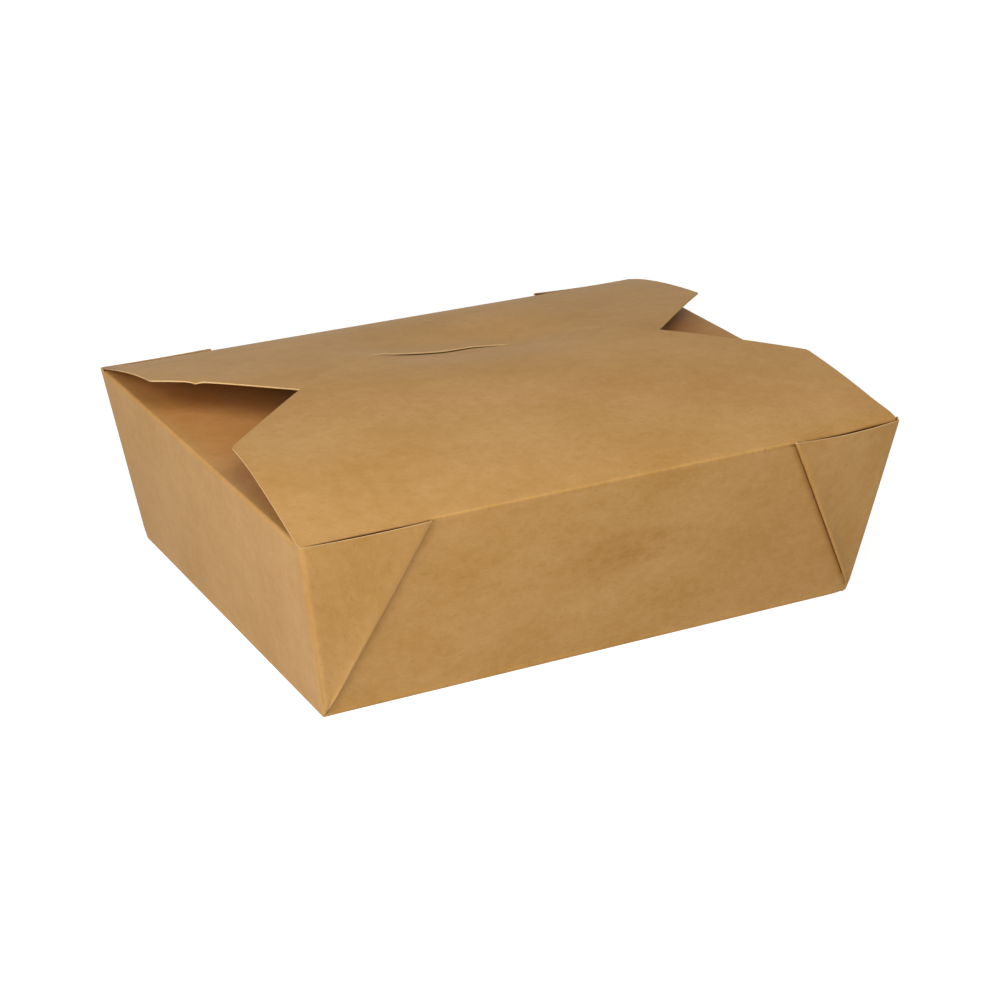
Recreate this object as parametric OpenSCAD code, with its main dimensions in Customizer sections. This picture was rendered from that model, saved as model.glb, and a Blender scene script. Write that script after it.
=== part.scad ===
// Take-out lunch box folded from one die-cut sheet of kraft board.
// Lengths are in millimetres. The box stands on its base, X runs along the long side,
// and the flap with the tongue is folded along the front, at negative Y.

/* [Tray] */
// Length over the rim
rim_length = 216; // [190:1:240]
// Width over the rim
rim_width = 171; // [155:0.5:190]
// Height from the base to the lid folds
wall_height = 63.5; // [45:0.5:90]
// How far each end wall leans out over its height
end_lean = 10.25; // [4:0.25:16]
// How far the front and back walls lean out over their height
side_lean = 8.5; // [4:0.25:16]
// Thickness of the board
board = 0.45; // [0.4:0.05:0.5]
// Radius of the upright corners where they meet the base
base_corner = 2.2; // [1.2:0.1:4]
// Radius of the upright corners at the rim
rim_corner = 0.9; // [0.8:0.1:2]
// Radius of the folds round the base
base_fold = 0.7; // [0.5:0.1:1.1]
// Drop of the plain rim below the lid folds
rim_drop = 0.65; // [0.6:0.05:1]

/* [Corner ears] */
// Width along the rim of the front ear at the left
ear_front_left = 43.5; // [30:0.5:60]
// Width along the rim of the front ear at the right
ear_front_right = 41; // [30:0.5:60]
// Width along the rim of the back ear at the left
ear_back_left = 41.5; // [30:0.5:60]
// Width along the rim of the back ear at the right
ear_back_right = 43; // [30:0.5:60]
// Gap between the two layers of an ear
ear_gap = 0.2; // [0.15:0.05:0.3]
// Height of the cut tops of the front ears, measured from the lid folds
ear_top_front = -0.7; // [-1.5:0.1:-0.7]
// Height of the cut tops of the back ears, measured from the lid folds
ear_top_back = 0; // [-1:0.1:0.8]
// Height of the pointed end of an ear above the base
ear_foot = 0.8; // [0.7:0.1:3]

/* [Lid arch] */
// Rise of the lid at its left end
arch_left = 14.1; // [9:0.1:16]
// Rise of the lid in the middle
arch_middle = 12.6; // [9:0.1:16]
// Rise of the lid at its right end
arch_right = 10.4; // [9:0.1:16]
// Form of the arch at its left end, a parabola at 1 and fuller below it
form_left = 1.03; // [0.85:0.01:1.1]
// Form of the arch at its right end
form_right = 0.86; // [0.85:0.01:1.1]
// Depth of the hollow pressed in beside the tongue
hollow_depth = 5.3; // [0:0.1:6]
// Place of the hollow along the box
hollow_x = 15; // [-12:1:18]
// Reach of the hollow to the left
hollow_reach_left = 46; // [26:1:50]
// Reach of the hollow to the right
hollow_reach_right = 30; // [26:1:40]
// Reach of the hollow across the box
hollow_reach_y = 22; // [18:1:26]

/* [Front flap] */
// Space between each end of the flap and the outside of the rim
front_inset = 1; // [0.8:0.1:4]
// Length of its straight sides, from the fold to the slanting cuts
front_side = 51.3; // [40:0.1:60]
// Angle of the slanting cut at the left, from straight across the box
front_slant_left = 47.8; // [40:0.1:50]
// Angle of the slanting cut at the right
front_slant_right = 46.2; // [40:0.1:50]
// Distance from the end of the slanting cuts to the slit
front_nose = 13; // [8:0.5:16]

/* [Back flap] */
// Space between each end of the flap and the outside of the rim
back_inset = 0.8; // [0.8:0.1:4]
// Length of its straight sides, from the fold to the slanting cuts
back_side = 48.3; // [40:0.1:51]
// Angle of the slanting cuts, from straight across the box
back_slant = 48.2; // [40:0.1:50]
// Length of the flap in front of the slit
back_nose = 42; // [30:0.5:46]
// Drop of the back flap below the front flap
lap = 0.8; // [0.75:0.05:1]

/* [Tongue and slit] */
// Half-width of the tongue at the slit
tongue_half = 26.4; // [20:0.1:28]
// Middle of the tongue along the box
tongue_x = -3.5; // [-5:0.5:5]
// Distance of the slit from the back fold
slit_back = 58.3; // [55:0.1:62]
// Length of the tongue below the lid
tongue_depth = 7; // [5:0.5:8]
// Narrowing of the tongue at each end
tongue_taper = 4; // [2:0.5:6]
// Width of the shoulder at each end of the tongue
tongue_shoulder = 4; // [3:0.5:6]
// Clear space at each end of the slit
slit_end = 0.6; // [0.5:0.1:1]
// Width of the slit
slit_width = 1.1; // [1.05:0.05:1.3]
// Lift of the back edge of the slit over the tongue
slit_lift = 1.2; // [1:0.1:2.2]

/* [End flaps] */
// Space between each side of an end flap and the outside of the rim, at the fold
end_inset = 1.5; // [1.5:0.5:12]
// Angle of its slanting sides
end_slant = 9.5; // [4:0.5:15]
// Length of an end flap
end_length = 69.5; // [50:0.5:80]
// Fall of its free edge below its fold
end_fall = 2.5; // [1.5:0.1:5]

/* [Hidden] */
kraft = [0.71, 0.53, 0.32];
half = board / 2;
rim_z = wall_height - rim_drop;
lean_x = end_lean / wall_height;
lean_y = side_lean / wall_height;
base_x = rim_length / 2 - end_lean;
base_y = rim_width / 2 - side_lean;
fold_y = rim_width / 2 - half;
fold_z = wall_height - half;
front_half = rim_length / 2 - front_inset;
back_half = rim_length / 2 - back_inset;
slit_y = fold_y - slit_back;
front_cut_y = front_side - fold_y;
front_nose_y = slit_y - front_nose;
back_cut_y = fold_y - back_side;
back_nose_y = slit_y - back_nose;
bend_run = 1.4;
corner_ease = 2;
corner_steps = 4;
tongue_steps = 10;
wing_steps = 7;
swing = sqrt(pow(slit_y + fold_y, 2) + pow(lid_z(tongue_x, slit_y) - fold_z, 2));

// Value between two ends, evenly spaced values that stop before the second end, and eased values
function mix(a, b, t) = a + (b - a) * t;
function steps(a, b, n) = [for (k = [0 : n - 1]) mix(a, b, k / n)];
function ramp(y, y0, y1) = min(1, max(0, (y - y0) / (y1 - y0)));
function soft(t) = t * t * (3 - 2 * t);

// Height of the middle of the lid's board, and its tilt across the box
function arch(x) = arch_middle + (arch_right - arch_left) / 2 * x / back_half
    + ((arch_right + arch_left) / 2 - arch_middle) * pow(x / back_half, 2);
function form(x) = mix(form_left, form_right, (1 + x / back_half) / 2);
function hollow_reach(x) = x < hollow_x ? hollow_reach_left : hollow_reach_right;
function hollow(x, y) = hollow_depth
    * exp(-pow((x - hollow_x) / hollow_reach(x), 2) - pow((y - slit_y - 3) / hollow_reach_y, 2));
function lid_z(x, y) = fold_z + arch(x) * pow(max(0, 1 - pow(y / fold_y, 2)), form(x)) - hollow(x, y);
function lid_tilt(y) = atan(2 * arch_middle * y / pow(fold_y, 2));

// Place across the box of a cylinder about the front fold that the tongue slides on
function swing_y(z, offset) = sqrt(pow(swing + offset, 2) - pow(z - fold_z, 2)) - fold_y;

// Half-widths of the lid flaps across the box, with eased corners where the slanting cuts begin
function cut_run(run) = run < -corner_ease ? 0
    : run > corner_ease ? run : pow(run + corner_ease, 2) / (4 * corner_ease);
function slant_edge(y, side) =
    front_half - tan(side < 0 ? front_slant_left : front_slant_right) * cut_run(y - front_cut_y);
function nose_edge(y, side) = mix(slant_edge(front_nose_y, side),
    tongue_half + side * tongue_x + tongue_shoulder, pow(ramp(y, front_nose_y, slit_y - bend_run), 0.8));
function front_edge(y, side) = y < front_nose_y ? slant_edge(y, side) : nose_edge(y, side);
function back_edge(y) = back_half - tan(back_slant) * cut_run(back_cut_y - y);

// Places along a lid flap for one row: the tongue's width in the middle and a wing at each side
function row_x(left, right, inner) = concat(
    steps(-left, tongue_x - inner, wing_steps),
    steps(tongue_x - inner, tongue_x + inner, tongue_steps),
    steps(tongue_x + inner, right, wing_steps),
    [right]);
function in_tongue(j) = j >= wing_steps && j < wing_steps + tongue_steps;
row_cells = [0 : 2 * wing_steps + tongue_steps - 1];

// A sheet of board laid over a grid of places, where each row has its own facing
function flat(rows) = [for (r = rows) for (p = r) p];
function edge_pair(a, b, n) = [[a, b, b + n], [a, b + n, a + n]];
function facing_at(tilt) = [0, sin(tilt), cos(tilt)];
module sheet(rows, facing, kept) {
    m = len(rows[0]);
    n = len(rows) * m;
    top = flat([for (i = [0 : len(rows) - 1]) [for (p = rows[i]) p + facing[i] * half]]);
    low = flat([for (i = [0 : len(rows) - 1]) [for (p = rows[i]) p - facing[i] * half]]);
    function on(i, j) = i >= 0 && j >= 0 && i < len(rows) - 1 && j < m - 1 && kept[i][j];
    cells = [for (i = [0 : len(rows) - 2]) for (j = [0 : m - 2]) if (kept[i][j]) [i, j]];
    skins = [for (c = cells) let (a = c[0] * m + c[1]) each [
        [a, a + m + 1, a + 1],
        [a, a + m, a + m + 1],
        [a + n, a + n + 1, a + n + m + 1],
        [a + n, a + n + m + 1, a + n + m]]];
    rims = [for (c = cells) let (i = c[0], j = c[1], a = i * m + j) each concat(
        on(i - 1, j) ? [] : edge_pair(a, a + 1, n),
        on(i + 1, j) ? [] : edge_pair(a + m + 1, a + m, n),
        on(i, j - 1) ? [] : edge_pair(a + m, a, n),
        on(i, j + 1) ? [] : edge_pair(a + 1, a + m + 1, n))];
    polyhedron(points = concat(top, low), faces = concat(skins, rims), convexity = 6);
}

// Loop of a rounded rectangle, and a skin drawn through a stack of such loops
function rounded_loop(hx, hy, r, z) = [for (q = [0 : 3]) for (k = [0 : corner_steps])
    let (a = 90 * q + 90 * k / corner_steps, sx = q == 0 || q == 3 ? 1 : -1, sy = q < 2 ? 1 : -1)
    [sx * (hx - r) + r * cos(a), sy * (hy - r) + r * sin(a), z]];
module skin_through(loops) {
    m = len(loops[0]);
    last = len(loops) - 1;
    sides = [for (i = [0 : last - 1]) for (j = [0 : m - 1])
        let (a = i * m + j, b = i * m + (j + 1) % m) each [[a, a + m, b + m], [a, b + m, b]]];
    first_face = [for (j = [0 : m - 1]) j];
    last_face = [for (j = [0 : m - 1]) last * m + m - 1 - j];
    polyhedron(points = flat(loops), faces = concat(sides, [first_face, last_face]), convexity = 4);
}

// Flared tray: base, walls, and the rounded folds between them
function tray_loop(z, inset, skin) = rounded_loop(
    base_x + lean_x * z - inset - skin,
    base_y + lean_y * z - inset - skin,
    max(0.3, mix(base_corner, rim_corner, z / wall_height) - skin), z);
module tray() {
    skin = board * sqrt(1 + pow(lean_x, 2));
    round_in = base_fold * 0.3;
    skin_through([
        tray_loop(0, base_fold, 0),
        tray_loop(round_in, round_in, 0),
        tray_loop(base_fold, 0, 0),
        tray_loop(rim_z, 0, 0),
        tray_loop(rim_z, 0, skin),
        tray_loop(base_fold + board, 0, skin),
        tray_loop(round_in + board, round_in, skin),
        tray_loop(board, base_fold, skin)]);
}

// One web corner folded into a double ear against the right end of the front wall
module ear(width, lift) {
    slope = atan(lean_y);
    stretch = 1 / cos(slope);
    top = wall_height + lift;
    tip = [base_x + lean_x * ear_foot, ear_foot * stretch];
    corner = [base_x + lean_x * top, top * stretch];
    inner = corner - [width, 0];
    layers = 2 * board + ear_gap;
    translate([0, -base_y, 0])
        rotate([90 + slope, 0, 0])
            translate([0, 0, -half])
                difference() {
                    linear_extrude(layers + half)
                        polygon([tip - [1.6, 0], tip, corner, inner]);
                    translate([0, 0, half + board])
                        linear_extrude(ear_gap)
                            polygon([tip + [-0.4, 8], corner + [-0.7, 1], inner + [2.2, 1]]);
                }
}

// End flap at the right, bent in over the end wall and tucked under the lid
module end_flap() {
    wall_x = rim_length / 2 - half;
    top_z = fold_z - 0.3;
    bend = [[0.17, -1.1, 82], [0, -0.35, 65], [0.3, -0.04, 25]];
    runs = concat(steps(1, end_length - 3.5, 10), [end_length - 3.5, end_length - 1, end_length]);
    places = concat(bend, [for (r = runs) [r, -end_fall * pow(r / end_length, 1.2), -2]]);
    function rounding(r) = 5 * pow(ramp(r, end_length - 3.5, end_length), 2.5);
    function reach(r) = rim_width / 2 - end_inset - tan(end_slant) * r - rounding(r);
    rows = [for (p = places) [for (u = [-1 : 0.25 : 1])
        [wall_x - p[0], reach(p[0]) * u, top_z + p[1]]]];
    facing = [for (p = places) [sin(p[2]), 0, cos(p[2])]];
    kept = [for (i = [0 : len(rows) - 2]) [for (k = [0 : 7]) true]];
    sheet(rows, facing, kept);
}

// Back flap, arched over the end flaps and slit for the tongue
module back_flap() {
    opening = tongue_half + slit_end;
    fore = concat(
        [back_nose_y, back_nose_y + 1.5],
        steps(back_nose_y + 5, slit_y - 3, 7),
        [slit_y - 3]);
    rear = concat(
        steps(slit_y + 3, back_cut_y - corner_ease, 2),
        steps(back_cut_y - corner_ease, back_cut_y + corner_ease, 6),
        steps(back_cut_y + corner_ease, fold_y - 5, 6),
        [fold_y - 5, fold_y - 1.3]);
    bend = [[fold_y - 0.3, 0, 25], [fold_y - 0.02, 0.3, 55], [fold_y - 0.16, 1.1, 80]];
    function under(y) = lap * soft(1 - ramp(y, 0.53 * fold_y, 0.92 * fold_y));
    function mouth(x) = max(0, 1 - pow((x - tongue_x) / opening, 2));
    function lift(x, y) = slit_lift * mouth(x) * pow(1 - ramp(y, slit_y, slit_y + 14), 2);
    function slit_row(offset, raise) = [for (x = row_x(back_edge(slit_y), back_edge(slit_y), opening))
        let (z = lid_z(x, slit_y) - lap)
        [x, swing_y(z, offset), z + raise * lift(x, slit_y)]];
    function lid_row(y, drop, raise) = [for (x = row_x(back_edge(y), back_edge(y), opening))
        [x, y, lid_z(x, y) - under(y) - drop + raise * lift(x, y)]];
    rows = concat(
        [for (y = fore) lid_row(y, 0, 0)],
        [slit_row(-slit_width / 2, 0), slit_row(slit_width / 2, 1)],
        [for (y = rear) lid_row(y, 0, 1)],
        [for (b = bend) lid_row(b[0], b[1], 0)]);
    tilts = concat(
        [for (y = fore) lid_tilt(y)],
        [lid_tilt(slit_y), lid_tilt(slit_y)],
        [for (y = rear) lid_tilt(y)],
        [for (b = bend) b[2]]);
    slit_at = len(fore);
    kept = [for (i = [0 : len(rows) - 2]) [for (j = row_cells) i != slit_at || !in_tongue(j)]];
    sheet(rows, [for (a = tilts) facing_at(a)], kept);
}

// Front flap, arched over the back flap, with the tongue bent down through the slit
module front_lid() {
    lid = concat(
        [-fold_y, 1.3 - fold_y],
        steps(5 - fold_y, front_cut_y - corner_ease, 7),
        steps(front_cut_y - corner_ease, front_cut_y + corner_ease, 6),
        steps(front_cut_y + corner_ease, front_nose_y, 8),
        steps(front_nose_y, slit_y - bend_run, 4),
        [slit_y - bend_run]);
    bend = [[0.05, 0.75, 14], [0.45, 0.15, 45], [1.3, 0, 78]];
    tongue = [[0.35, 0], [0.6, 0.15], [0.85, 0.5], [1, 1.4]];
    function lid_row(y) = [for (x = row_x(front_edge(y, -1), front_edge(y, 1), tongue_half))
        [x, y, lid_z(x, y)]];
    function dip_row(drop, taper, back) =
        [for (x = row_x(front_edge(slit_y, -1), front_edge(slit_y, 1), tongue_half - taper))
            let (z = lid_z(x, slit_y) - drop)
            [x, swing_y(z, -back), z]];
    rows = concat(
        [for (y = lid) lid_row(y)],
        [for (b = bend) dip_row(b[0], 0, b[1])],
        [for (t = tongue) dip_row(mix(bend[2][0], tongue_depth, t[0]), tongue_taper * t[1], 0)]);
    tilts = concat(
        [for (y = lid) lid_tilt(y)],
        [for (b = bend) b[2]],
        [for (t = tongue) 87]);
    kept = [for (i = [0 : len(rows) - 2]) [for (j = row_cells) i < len(lid) - 1 || in_tongue(j)]];
    sheet(rows, [for (a = tilts) facing_at(a)], kept);
}

module carton() {
    color(kraft) {
        tray();
        ear(ear_front_right, ear_top_front);
        mirror([1, 0, 0])
            ear(ear_front_left, ear_top_front);
        mirror([0, 1, 0])
            ear(ear_back_right, ear_top_back);
        mirror([1, 0, 0])
            mirror([0, 1, 0])
                ear(ear_back_left, ear_top_back);
        end_flap();
        mirror([1, 0, 0])
            end_flap();
        back_flap();
    }
}

module front_flap() {
    color(kraft)
        front_lid();
}

carton();
front_flap();
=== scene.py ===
"""Lunch box folded from one die-cut sheet of kraft board, with lid flaps that a tongue locks."""

import logging
import math
from dataclasses import dataclass, field
from enum import Enum
from typing import Callable, Iterator, Sequence

import bmesh
import bpy
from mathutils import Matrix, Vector

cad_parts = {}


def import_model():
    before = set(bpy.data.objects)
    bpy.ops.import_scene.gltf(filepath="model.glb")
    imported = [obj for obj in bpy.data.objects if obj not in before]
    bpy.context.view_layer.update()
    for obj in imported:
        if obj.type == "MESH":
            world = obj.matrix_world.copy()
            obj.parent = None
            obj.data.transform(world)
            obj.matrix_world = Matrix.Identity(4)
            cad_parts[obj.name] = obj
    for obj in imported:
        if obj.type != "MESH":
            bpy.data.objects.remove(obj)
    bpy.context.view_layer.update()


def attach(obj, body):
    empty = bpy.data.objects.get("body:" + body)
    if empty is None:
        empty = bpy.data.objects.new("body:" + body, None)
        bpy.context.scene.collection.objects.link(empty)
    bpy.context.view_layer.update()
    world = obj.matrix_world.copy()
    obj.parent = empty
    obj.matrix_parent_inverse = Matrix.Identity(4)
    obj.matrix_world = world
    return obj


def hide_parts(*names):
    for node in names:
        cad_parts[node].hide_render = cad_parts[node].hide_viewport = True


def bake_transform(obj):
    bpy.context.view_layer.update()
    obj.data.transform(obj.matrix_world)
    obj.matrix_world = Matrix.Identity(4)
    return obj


LOG = logging.getLogger("lunch_box")
MM = 0.001
CARTON = "carton"
FRONT_FLAP = "front_flap"
MARKS = ("crease", "recess", "beside", "sheltered")
LEFT, RIGHT = -1, 1
FRONT, BACK = -1, 1
SLOPE_STEP = 0.6

Point = tuple[float, float]
Triple = tuple[float, float, float]
Colour = tuple[float, float, float, float]
Socket = bpy.types.NodeSocket


def mix(a: float, b: float, t: float) -> float:
    """Value between two ends."""
    return a + (b - a) * t


def ramp(value: float, low: float, high: float) -> float:
    """Share of the way from low to high, held between 0 and 1."""
    return min(1.0, max(0.0, (value - low) / (high - low)))


def soft(t: float) -> float:
    """Eased share that starts and ends level."""
    return t * t * (3 - 2 * t)


def bell(value: float, middle: float, reach: float) -> float:
    """Smooth bump of height 1 at the middle."""
    return math.exp(-(((value - middle) / reach) ** 2))


def arc(t: float) -> float:
    """Half wave that is 0 at both ends and 1 in the middle."""
    return math.sin(math.pi * t)


def spaced(a: float, b: float, count: int) -> list[float]:
    """Evenly spaced values from a up to, but without, b."""
    return [mix(a, b, k / count) for k in range(count)]


def slope(height: Callable[[float, float], float], x: float, y: float, step: float) -> float:
    """Rise of a surface for each millimetre across the box, in the direction of a step."""
    return (height(x, y + step) - height(x, y)) / abs(step)


def slanted(run: float, ease: float) -> float:
    """Distance past the start of a slanting cut, whose corner is eased.

    Args:
        run: Distance past the sharp corner, negative before it.
        ease: Distance before and after the corner over which the cut sets in.

    Returns:
        The distance, which is 0 before the corner.
    """
    if run < -ease:
        return 0.0
    return run if run > ease else (run + ease) ** 2 / (4 * ease)


def bent(start: Vector, corner: Vector, end: Vector, t: float) -> Vector:
    """Point on a rounded fold that touches both panels.

    Args:
        start: Last point of the first panel.
        corner: Point where the two panels would meet without rounding.
        end: First point of the second panel.
        t: Share of the way round the fold.

    Returns:
        The point on the fold.
    """
    return start * (1 - t) ** 2 + corner * (2 * t * (1 - t)) + end * t**2


class Run(Enum):
    """Stretches of the sheet that a level line round the tray passes through."""

    LONG_WALL = "long wall"
    INNER_FOLD = "fold between the long wall and the ear"
    INNER_LAYER = "inner layer of the ear"
    EAR_FOLD = "slanting fold of the ear"
    OUTER_LAYER = "outer layer of the ear"
    UPRIGHT = "upright corner"
    END_WALL = "end wall"


class Skin(Enum):
    """Material slots of a sheet, in the order in which the board is thickened."""

    OUTSIDE = 0
    INSIDE = 1
    CUT = 2


@dataclass(frozen=True)
class Blank:
    """Sizes in millimetres that every panel of the sheet shares."""

    rim_length: float = 216.0
    rim_width: float = 171.0
    wall_height: float = 63.5
    end_lean: float = 10.25
    side_lean: float = 8.5
    board: float = 0.45

    @property
    def half(self) -> float:
        """Half the thickness of the board."""
        return self.board / 2

    @property
    def fold_y(self) -> float:
        """Distance of the lid folds from the middle of the box."""
        return self.rim_width / 2 - self.half

    @property
    def fold_z(self) -> float:
        """Height of the lid folds."""
        return self.wall_height - self.half

    @property
    def lean(self) -> float:
        """Angle in radians by which the walls lean out, taken as one for all four."""
        return math.atan((self.end_lean + self.side_lean) / 2 / self.wall_height)

    @property
    def flap_start(self) -> float:
        """Distance on the flat blank from its middle to a lid fold."""
        return self.side_plane(0) + self.wall_height

    def end_plane(self, z: float) -> float:
        """Distance of the outside of an end wall from the middle, at a height."""
        return self.rim_length / 2 - self.end_lean * (1 - z / self.wall_height)

    def side_plane(self, z: float) -> float:
        """Distance of the outside of a long wall from the middle, at a height."""
        return self.rim_width / 2 - self.side_lean * (1 - z / self.wall_height)


@dataclass(frozen=True)
class Buckle:
    """One small wave of the lid along its slit, in millimetres."""

    x: float
    reach: float
    rise: float


@dataclass(frozen=True)
class LidForm:
    """Arched surface that both lid flaps follow, in millimetres."""

    blank: Blank
    arch_left: float = 14.1
    arch_middle: float = 12.6
    arch_right: float = 10.4
    form_left: float = 1.03
    form_right: float = 0.86
    hollow_depth: float = 5.3
    hollow_x: float = 15.0
    hollow_back: float = 3.0
    hollow_reach_left: float = 46.0
    hollow_reach_right: float = 30.0
    hollow_reach_y: float = 22.0
    slit_back: float = 58.3
    tongue_half: float = 26.4
    tongue_x: float = -3.5
    slit_x: float = -4.4
    slit_half: float = 28.2
    half_span: float = 107.2
    buckle_reach_y: float = 12.0
    buckles: tuple[Buckle, ...] = (Buckle(-33.0, 10.0, 1.1), Buckle(8.0, 8.0, 0.7))

    @property
    def slit_y(self) -> float:
        """Place of the slit across the box."""
        return self.blank.fold_y - self.slit_back

    @property
    def swing(self) -> float:
        """Distance of the tongue from the front fold."""
        rise = self.height(self.tongue_x, self.slit_y) - self.blank.fold_z
        return math.hypot(self.slit_y + self.blank.fold_y, rise)

    def height(self, x: float, y: float) -> float:
        """Height of the middle of the front flap's board.

        Args:
            x: Place along the box.
            y: Place across the box.

        Returns:
            The height above the underside of the base.
        """
        span = x / self.half_span
        rise = self.arch_middle + (self.arch_right - self.arch_left) / 2 * span
        rise += ((self.arch_right + self.arch_left) / 2 - self.arch_middle) * span**2
        form = mix(self.form_left, self.form_right, (1 + span) / 2)
        arch = rise * max(0.0, 1 - (y / self.blank.fold_y) ** 2) ** form
        reach = self.hollow_reach_left if x < self.hollow_x else self.hollow_reach_right
        hollow = bell(x, self.hollow_x, reach)
        hollow *= bell(y, self.slit_y + self.hollow_back, self.hollow_reach_y)
        wave = sum(buckle.rise * bell(x, buckle.x, buckle.reach) for buckle in self.buckles)
        wave *= bell(y, self.slit_y, self.buckle_reach_y)
        return self.blank.fold_z + arch - self.hollow_depth * hollow + wave

    def swing_y(self, z: float, offset: float) -> float:
        """Place across the box, at a height, of the cylinder that the tongue slides on."""
        reach = (self.swing + offset) ** 2 - (z - self.blank.fold_z) ** 2
        return math.sqrt(reach) - self.blank.fold_y


@dataclass(frozen=True)
class Spot:
    """One point of the folded sheet.

    Attributes:
        place: Place in millimetres, in the box's frame.
        flat: Place on the flat blank, in millimetres.
        crease: How hard the board is creased there, from 0 to 1, which sets how far it is
        lightened: partly real rubbing and partly painted highlight.
        recess: Strength of painted shade, from 0 to 1, in gaps between layers of
        board, in the slit and on the back flap's edge near its corner.
        beside: Distance from the ear that stands off beside it, in millimetres, which sets the
        painted shadow on the wall there.
        sheltered: How far it lies in under the lid, from 0 to 1, which turns the colour redder:
        partly the board's own tone and partly painted warm bounce light.
    """

    place: Vector
    flat: Point
    crease: float = 0.0
    recess: float = 0.0
    beside: float = 99.0
    sheltered: float = 0.0


class FoldedSheet:
    """Mesh of a folded sheet, laid panel by panel on grids and then given its thickness."""

    WELD = 0.002
    SHARP_ANGLE = 42.0

    def __init__(self, name: str) -> None:
        """Starts an empty sheet.

        Args:
            name: Name of the piece that the sheet becomes.
        """
        self.name = name
        self.bm = bmesh.new()
        layers = self.bm.verts.layers
        self.blank_layer = layers.float_vector.new("blank")
        self.mark_layers = {mark: layers.float.new(mark) for mark in MARKS}

    def lay(
        self,
        columns: int,
        rows: int,
        spot: Callable[[int, int], Spot],
        kept: Callable[[int, int], bool] | None = None,
    ) -> None:
        """Lays one panel as a grid and moves its points into place.

        Args:
            columns: Number of cells along the panel.
            rows: Number of cells across the panel.
            spot: Gives the point of the sheet for a column and a row.
            kept: Tells which cells stay, by column and row. All stay without it.
        """
        half = 0.5
        grid = bmesh.ops.create_grid(self.bm, x_segments=columns, y_segments=rows, size=half)
        verts = grid["verts"]
        cut: list[bmesh.types.BMFace] = []
        if kept is not None:
            cells = {cell for vert in verts for cell in vert.link_faces}
            centres = {cell: cell.calc_center_median() for cell in cells}
            cut = [
                cell
                for cell, at in centres.items()
                if not kept(int((at.x + half) * columns), int((at.y + half) * rows))
            ]
        for vert in verts:
            point = spot(round((vert.co.x + half) * columns), round((vert.co.y + half) * rows))
            vert.co = point.place * MM
            vert[self.blank_layer] = Vector((*point.flat, 0)) * MM
            for mark, layer in self.mark_layers.items():
                vert[layer] = getattr(point, mark)
        if cut:
            bmesh.ops.delete(self.bm, geom=cut, context="FACES")

    def weld(self) -> None:
        """Joins the points that panels share."""
        bmesh.ops.remove_doubles(self.bm, verts=self.bm.verts[:], dist=self.WELD * MM)

    def close_base(self, height: float) -> None:
        """Fills the open loop of edges that lies lowest.

        Args:
            height: Height in millimetres below which an edge belongs to the loop.
        """
        self.weld()
        low = [
            edge
            for edge in self.bm.edges
            if edge.is_boundary and max(vert.co.z for vert in edge.verts) < height * MM
        ]
        made = bmesh.ops.contextual_create(self.bm, geom=low)
        for base in made["faces"]:
            base.normal_update()
            if base.normal.z > 0:
                base.normal_flip()

    def finish(self, board: float, skins: Sequence[bpy.types.Material]) -> bpy.types.Object:
        """Joins the panels, thickens the board and makes the piece.

        Args:
            board: Thickness of the board in millimetres.
            skins: Materials of the outside, the inside and the cut edges.

        Returns:
            The finished piece, at the origin.
        """
        self.weld()
        mesh = bpy.data.meshes.new(self.name)
        self.bm.to_mesh(mesh)
        self.bm.free()
        for skin in skins:
            mesh.materials.append(skin)
        piece = bpy.data.objects.new(self.name, mesh)
        bpy.context.collection.objects.link(piece)
        solid = piece.modifiers.new("board", "SOLIDIFY")
        solid.thickness = board * MM
        solid.offset = 0
        solid.use_quality_normals = True
        solid.material_offset = Skin.INSIDE.value
        solid.material_offset_rim = Skin.CUT.value
        bpy.context.view_layer.update()
        shaped = piece.evaluated_get(bpy.context.evaluated_depsgraph_get())
        thick = bpy.data.meshes.new_from_object(shaped)
        thick.name = self.name
        piece.modifiers.clear()
        piece.data = thick
        bpy.data.meshes.remove(mesh)
        thick.shade_smooth()
        thick.set_sharp_from_angle(angle=math.radians(self.SHARP_ANGLE))
        return piece


@dataclass(frozen=True)
class Corner:
    """One web corner, folded into a double ear against a long wall, in millimetres.

    Attributes:
        end: -1 at the left end of the box and 1 at the right.
        side: -1 at the front of the box and 1 at the back.
        ear_width: Width of the ear along the rim.
        ear_top: Height of the ear's cut top above the rim.
        foot: Height of the ear's lower tip.
        tip: Radius of the base fold at the corner.
        low_round: Radius of the upright corner at the base.
        settle: How fast that radius gives way to the one at the rim.
        rim_round: Radius of the upright corner at the rim.
        flare: How far the corner springs outwards at the rim.
        nib: Height of the spike left by the die at the top of the corner.
        open_run: Height over which the ear's layers part above its lower tip.
        crown: Height of the corner's top above the rim.
        sag: How far the ear's cut top hangs in its middle.
        worn: How much the ear's slanting fold is lightened, from 0 to 1: partly real
        rubbing and partly painted highlight.
        swell: How far the ear's outer layer bulges at that fold.
    """

    end: int
    side: int
    ear_width: float
    ear_top: float
    foot: float
    tip: float
    low_round: float
    settle: float
    rim_round: float = 0.9
    flare: float = 0.0
    nib: float = 0.0
    open_run: float = 4.0
    crown: float = -0.65
    sag: float = 0.3
    worn: float = 0.2
    swell: float = 0.2


@dataclass(frozen=True)
class Column:
    """One column of the level lines round the tray.

    Attributes:
        run: Stretch of the sheet that it belongs to.
        end: -1 at the left end of the box, 1 at the right and 0 along a long wall.
        side: -1 at the front of the box, 1 at the back and 0 along an end wall.
        share: Share of the way along the stretch.
    """

    run: Run
    end: int
    side: int
    share: float


@dataclass(frozen=True)
class Level:
    """Guide places of one web corner at one height, as distances from the middle of the box."""

    wall_y: float
    inner_y: float
    outer_y: float
    end_x: float
    inner_x: float
    ear_x: float
    radius: float


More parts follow.
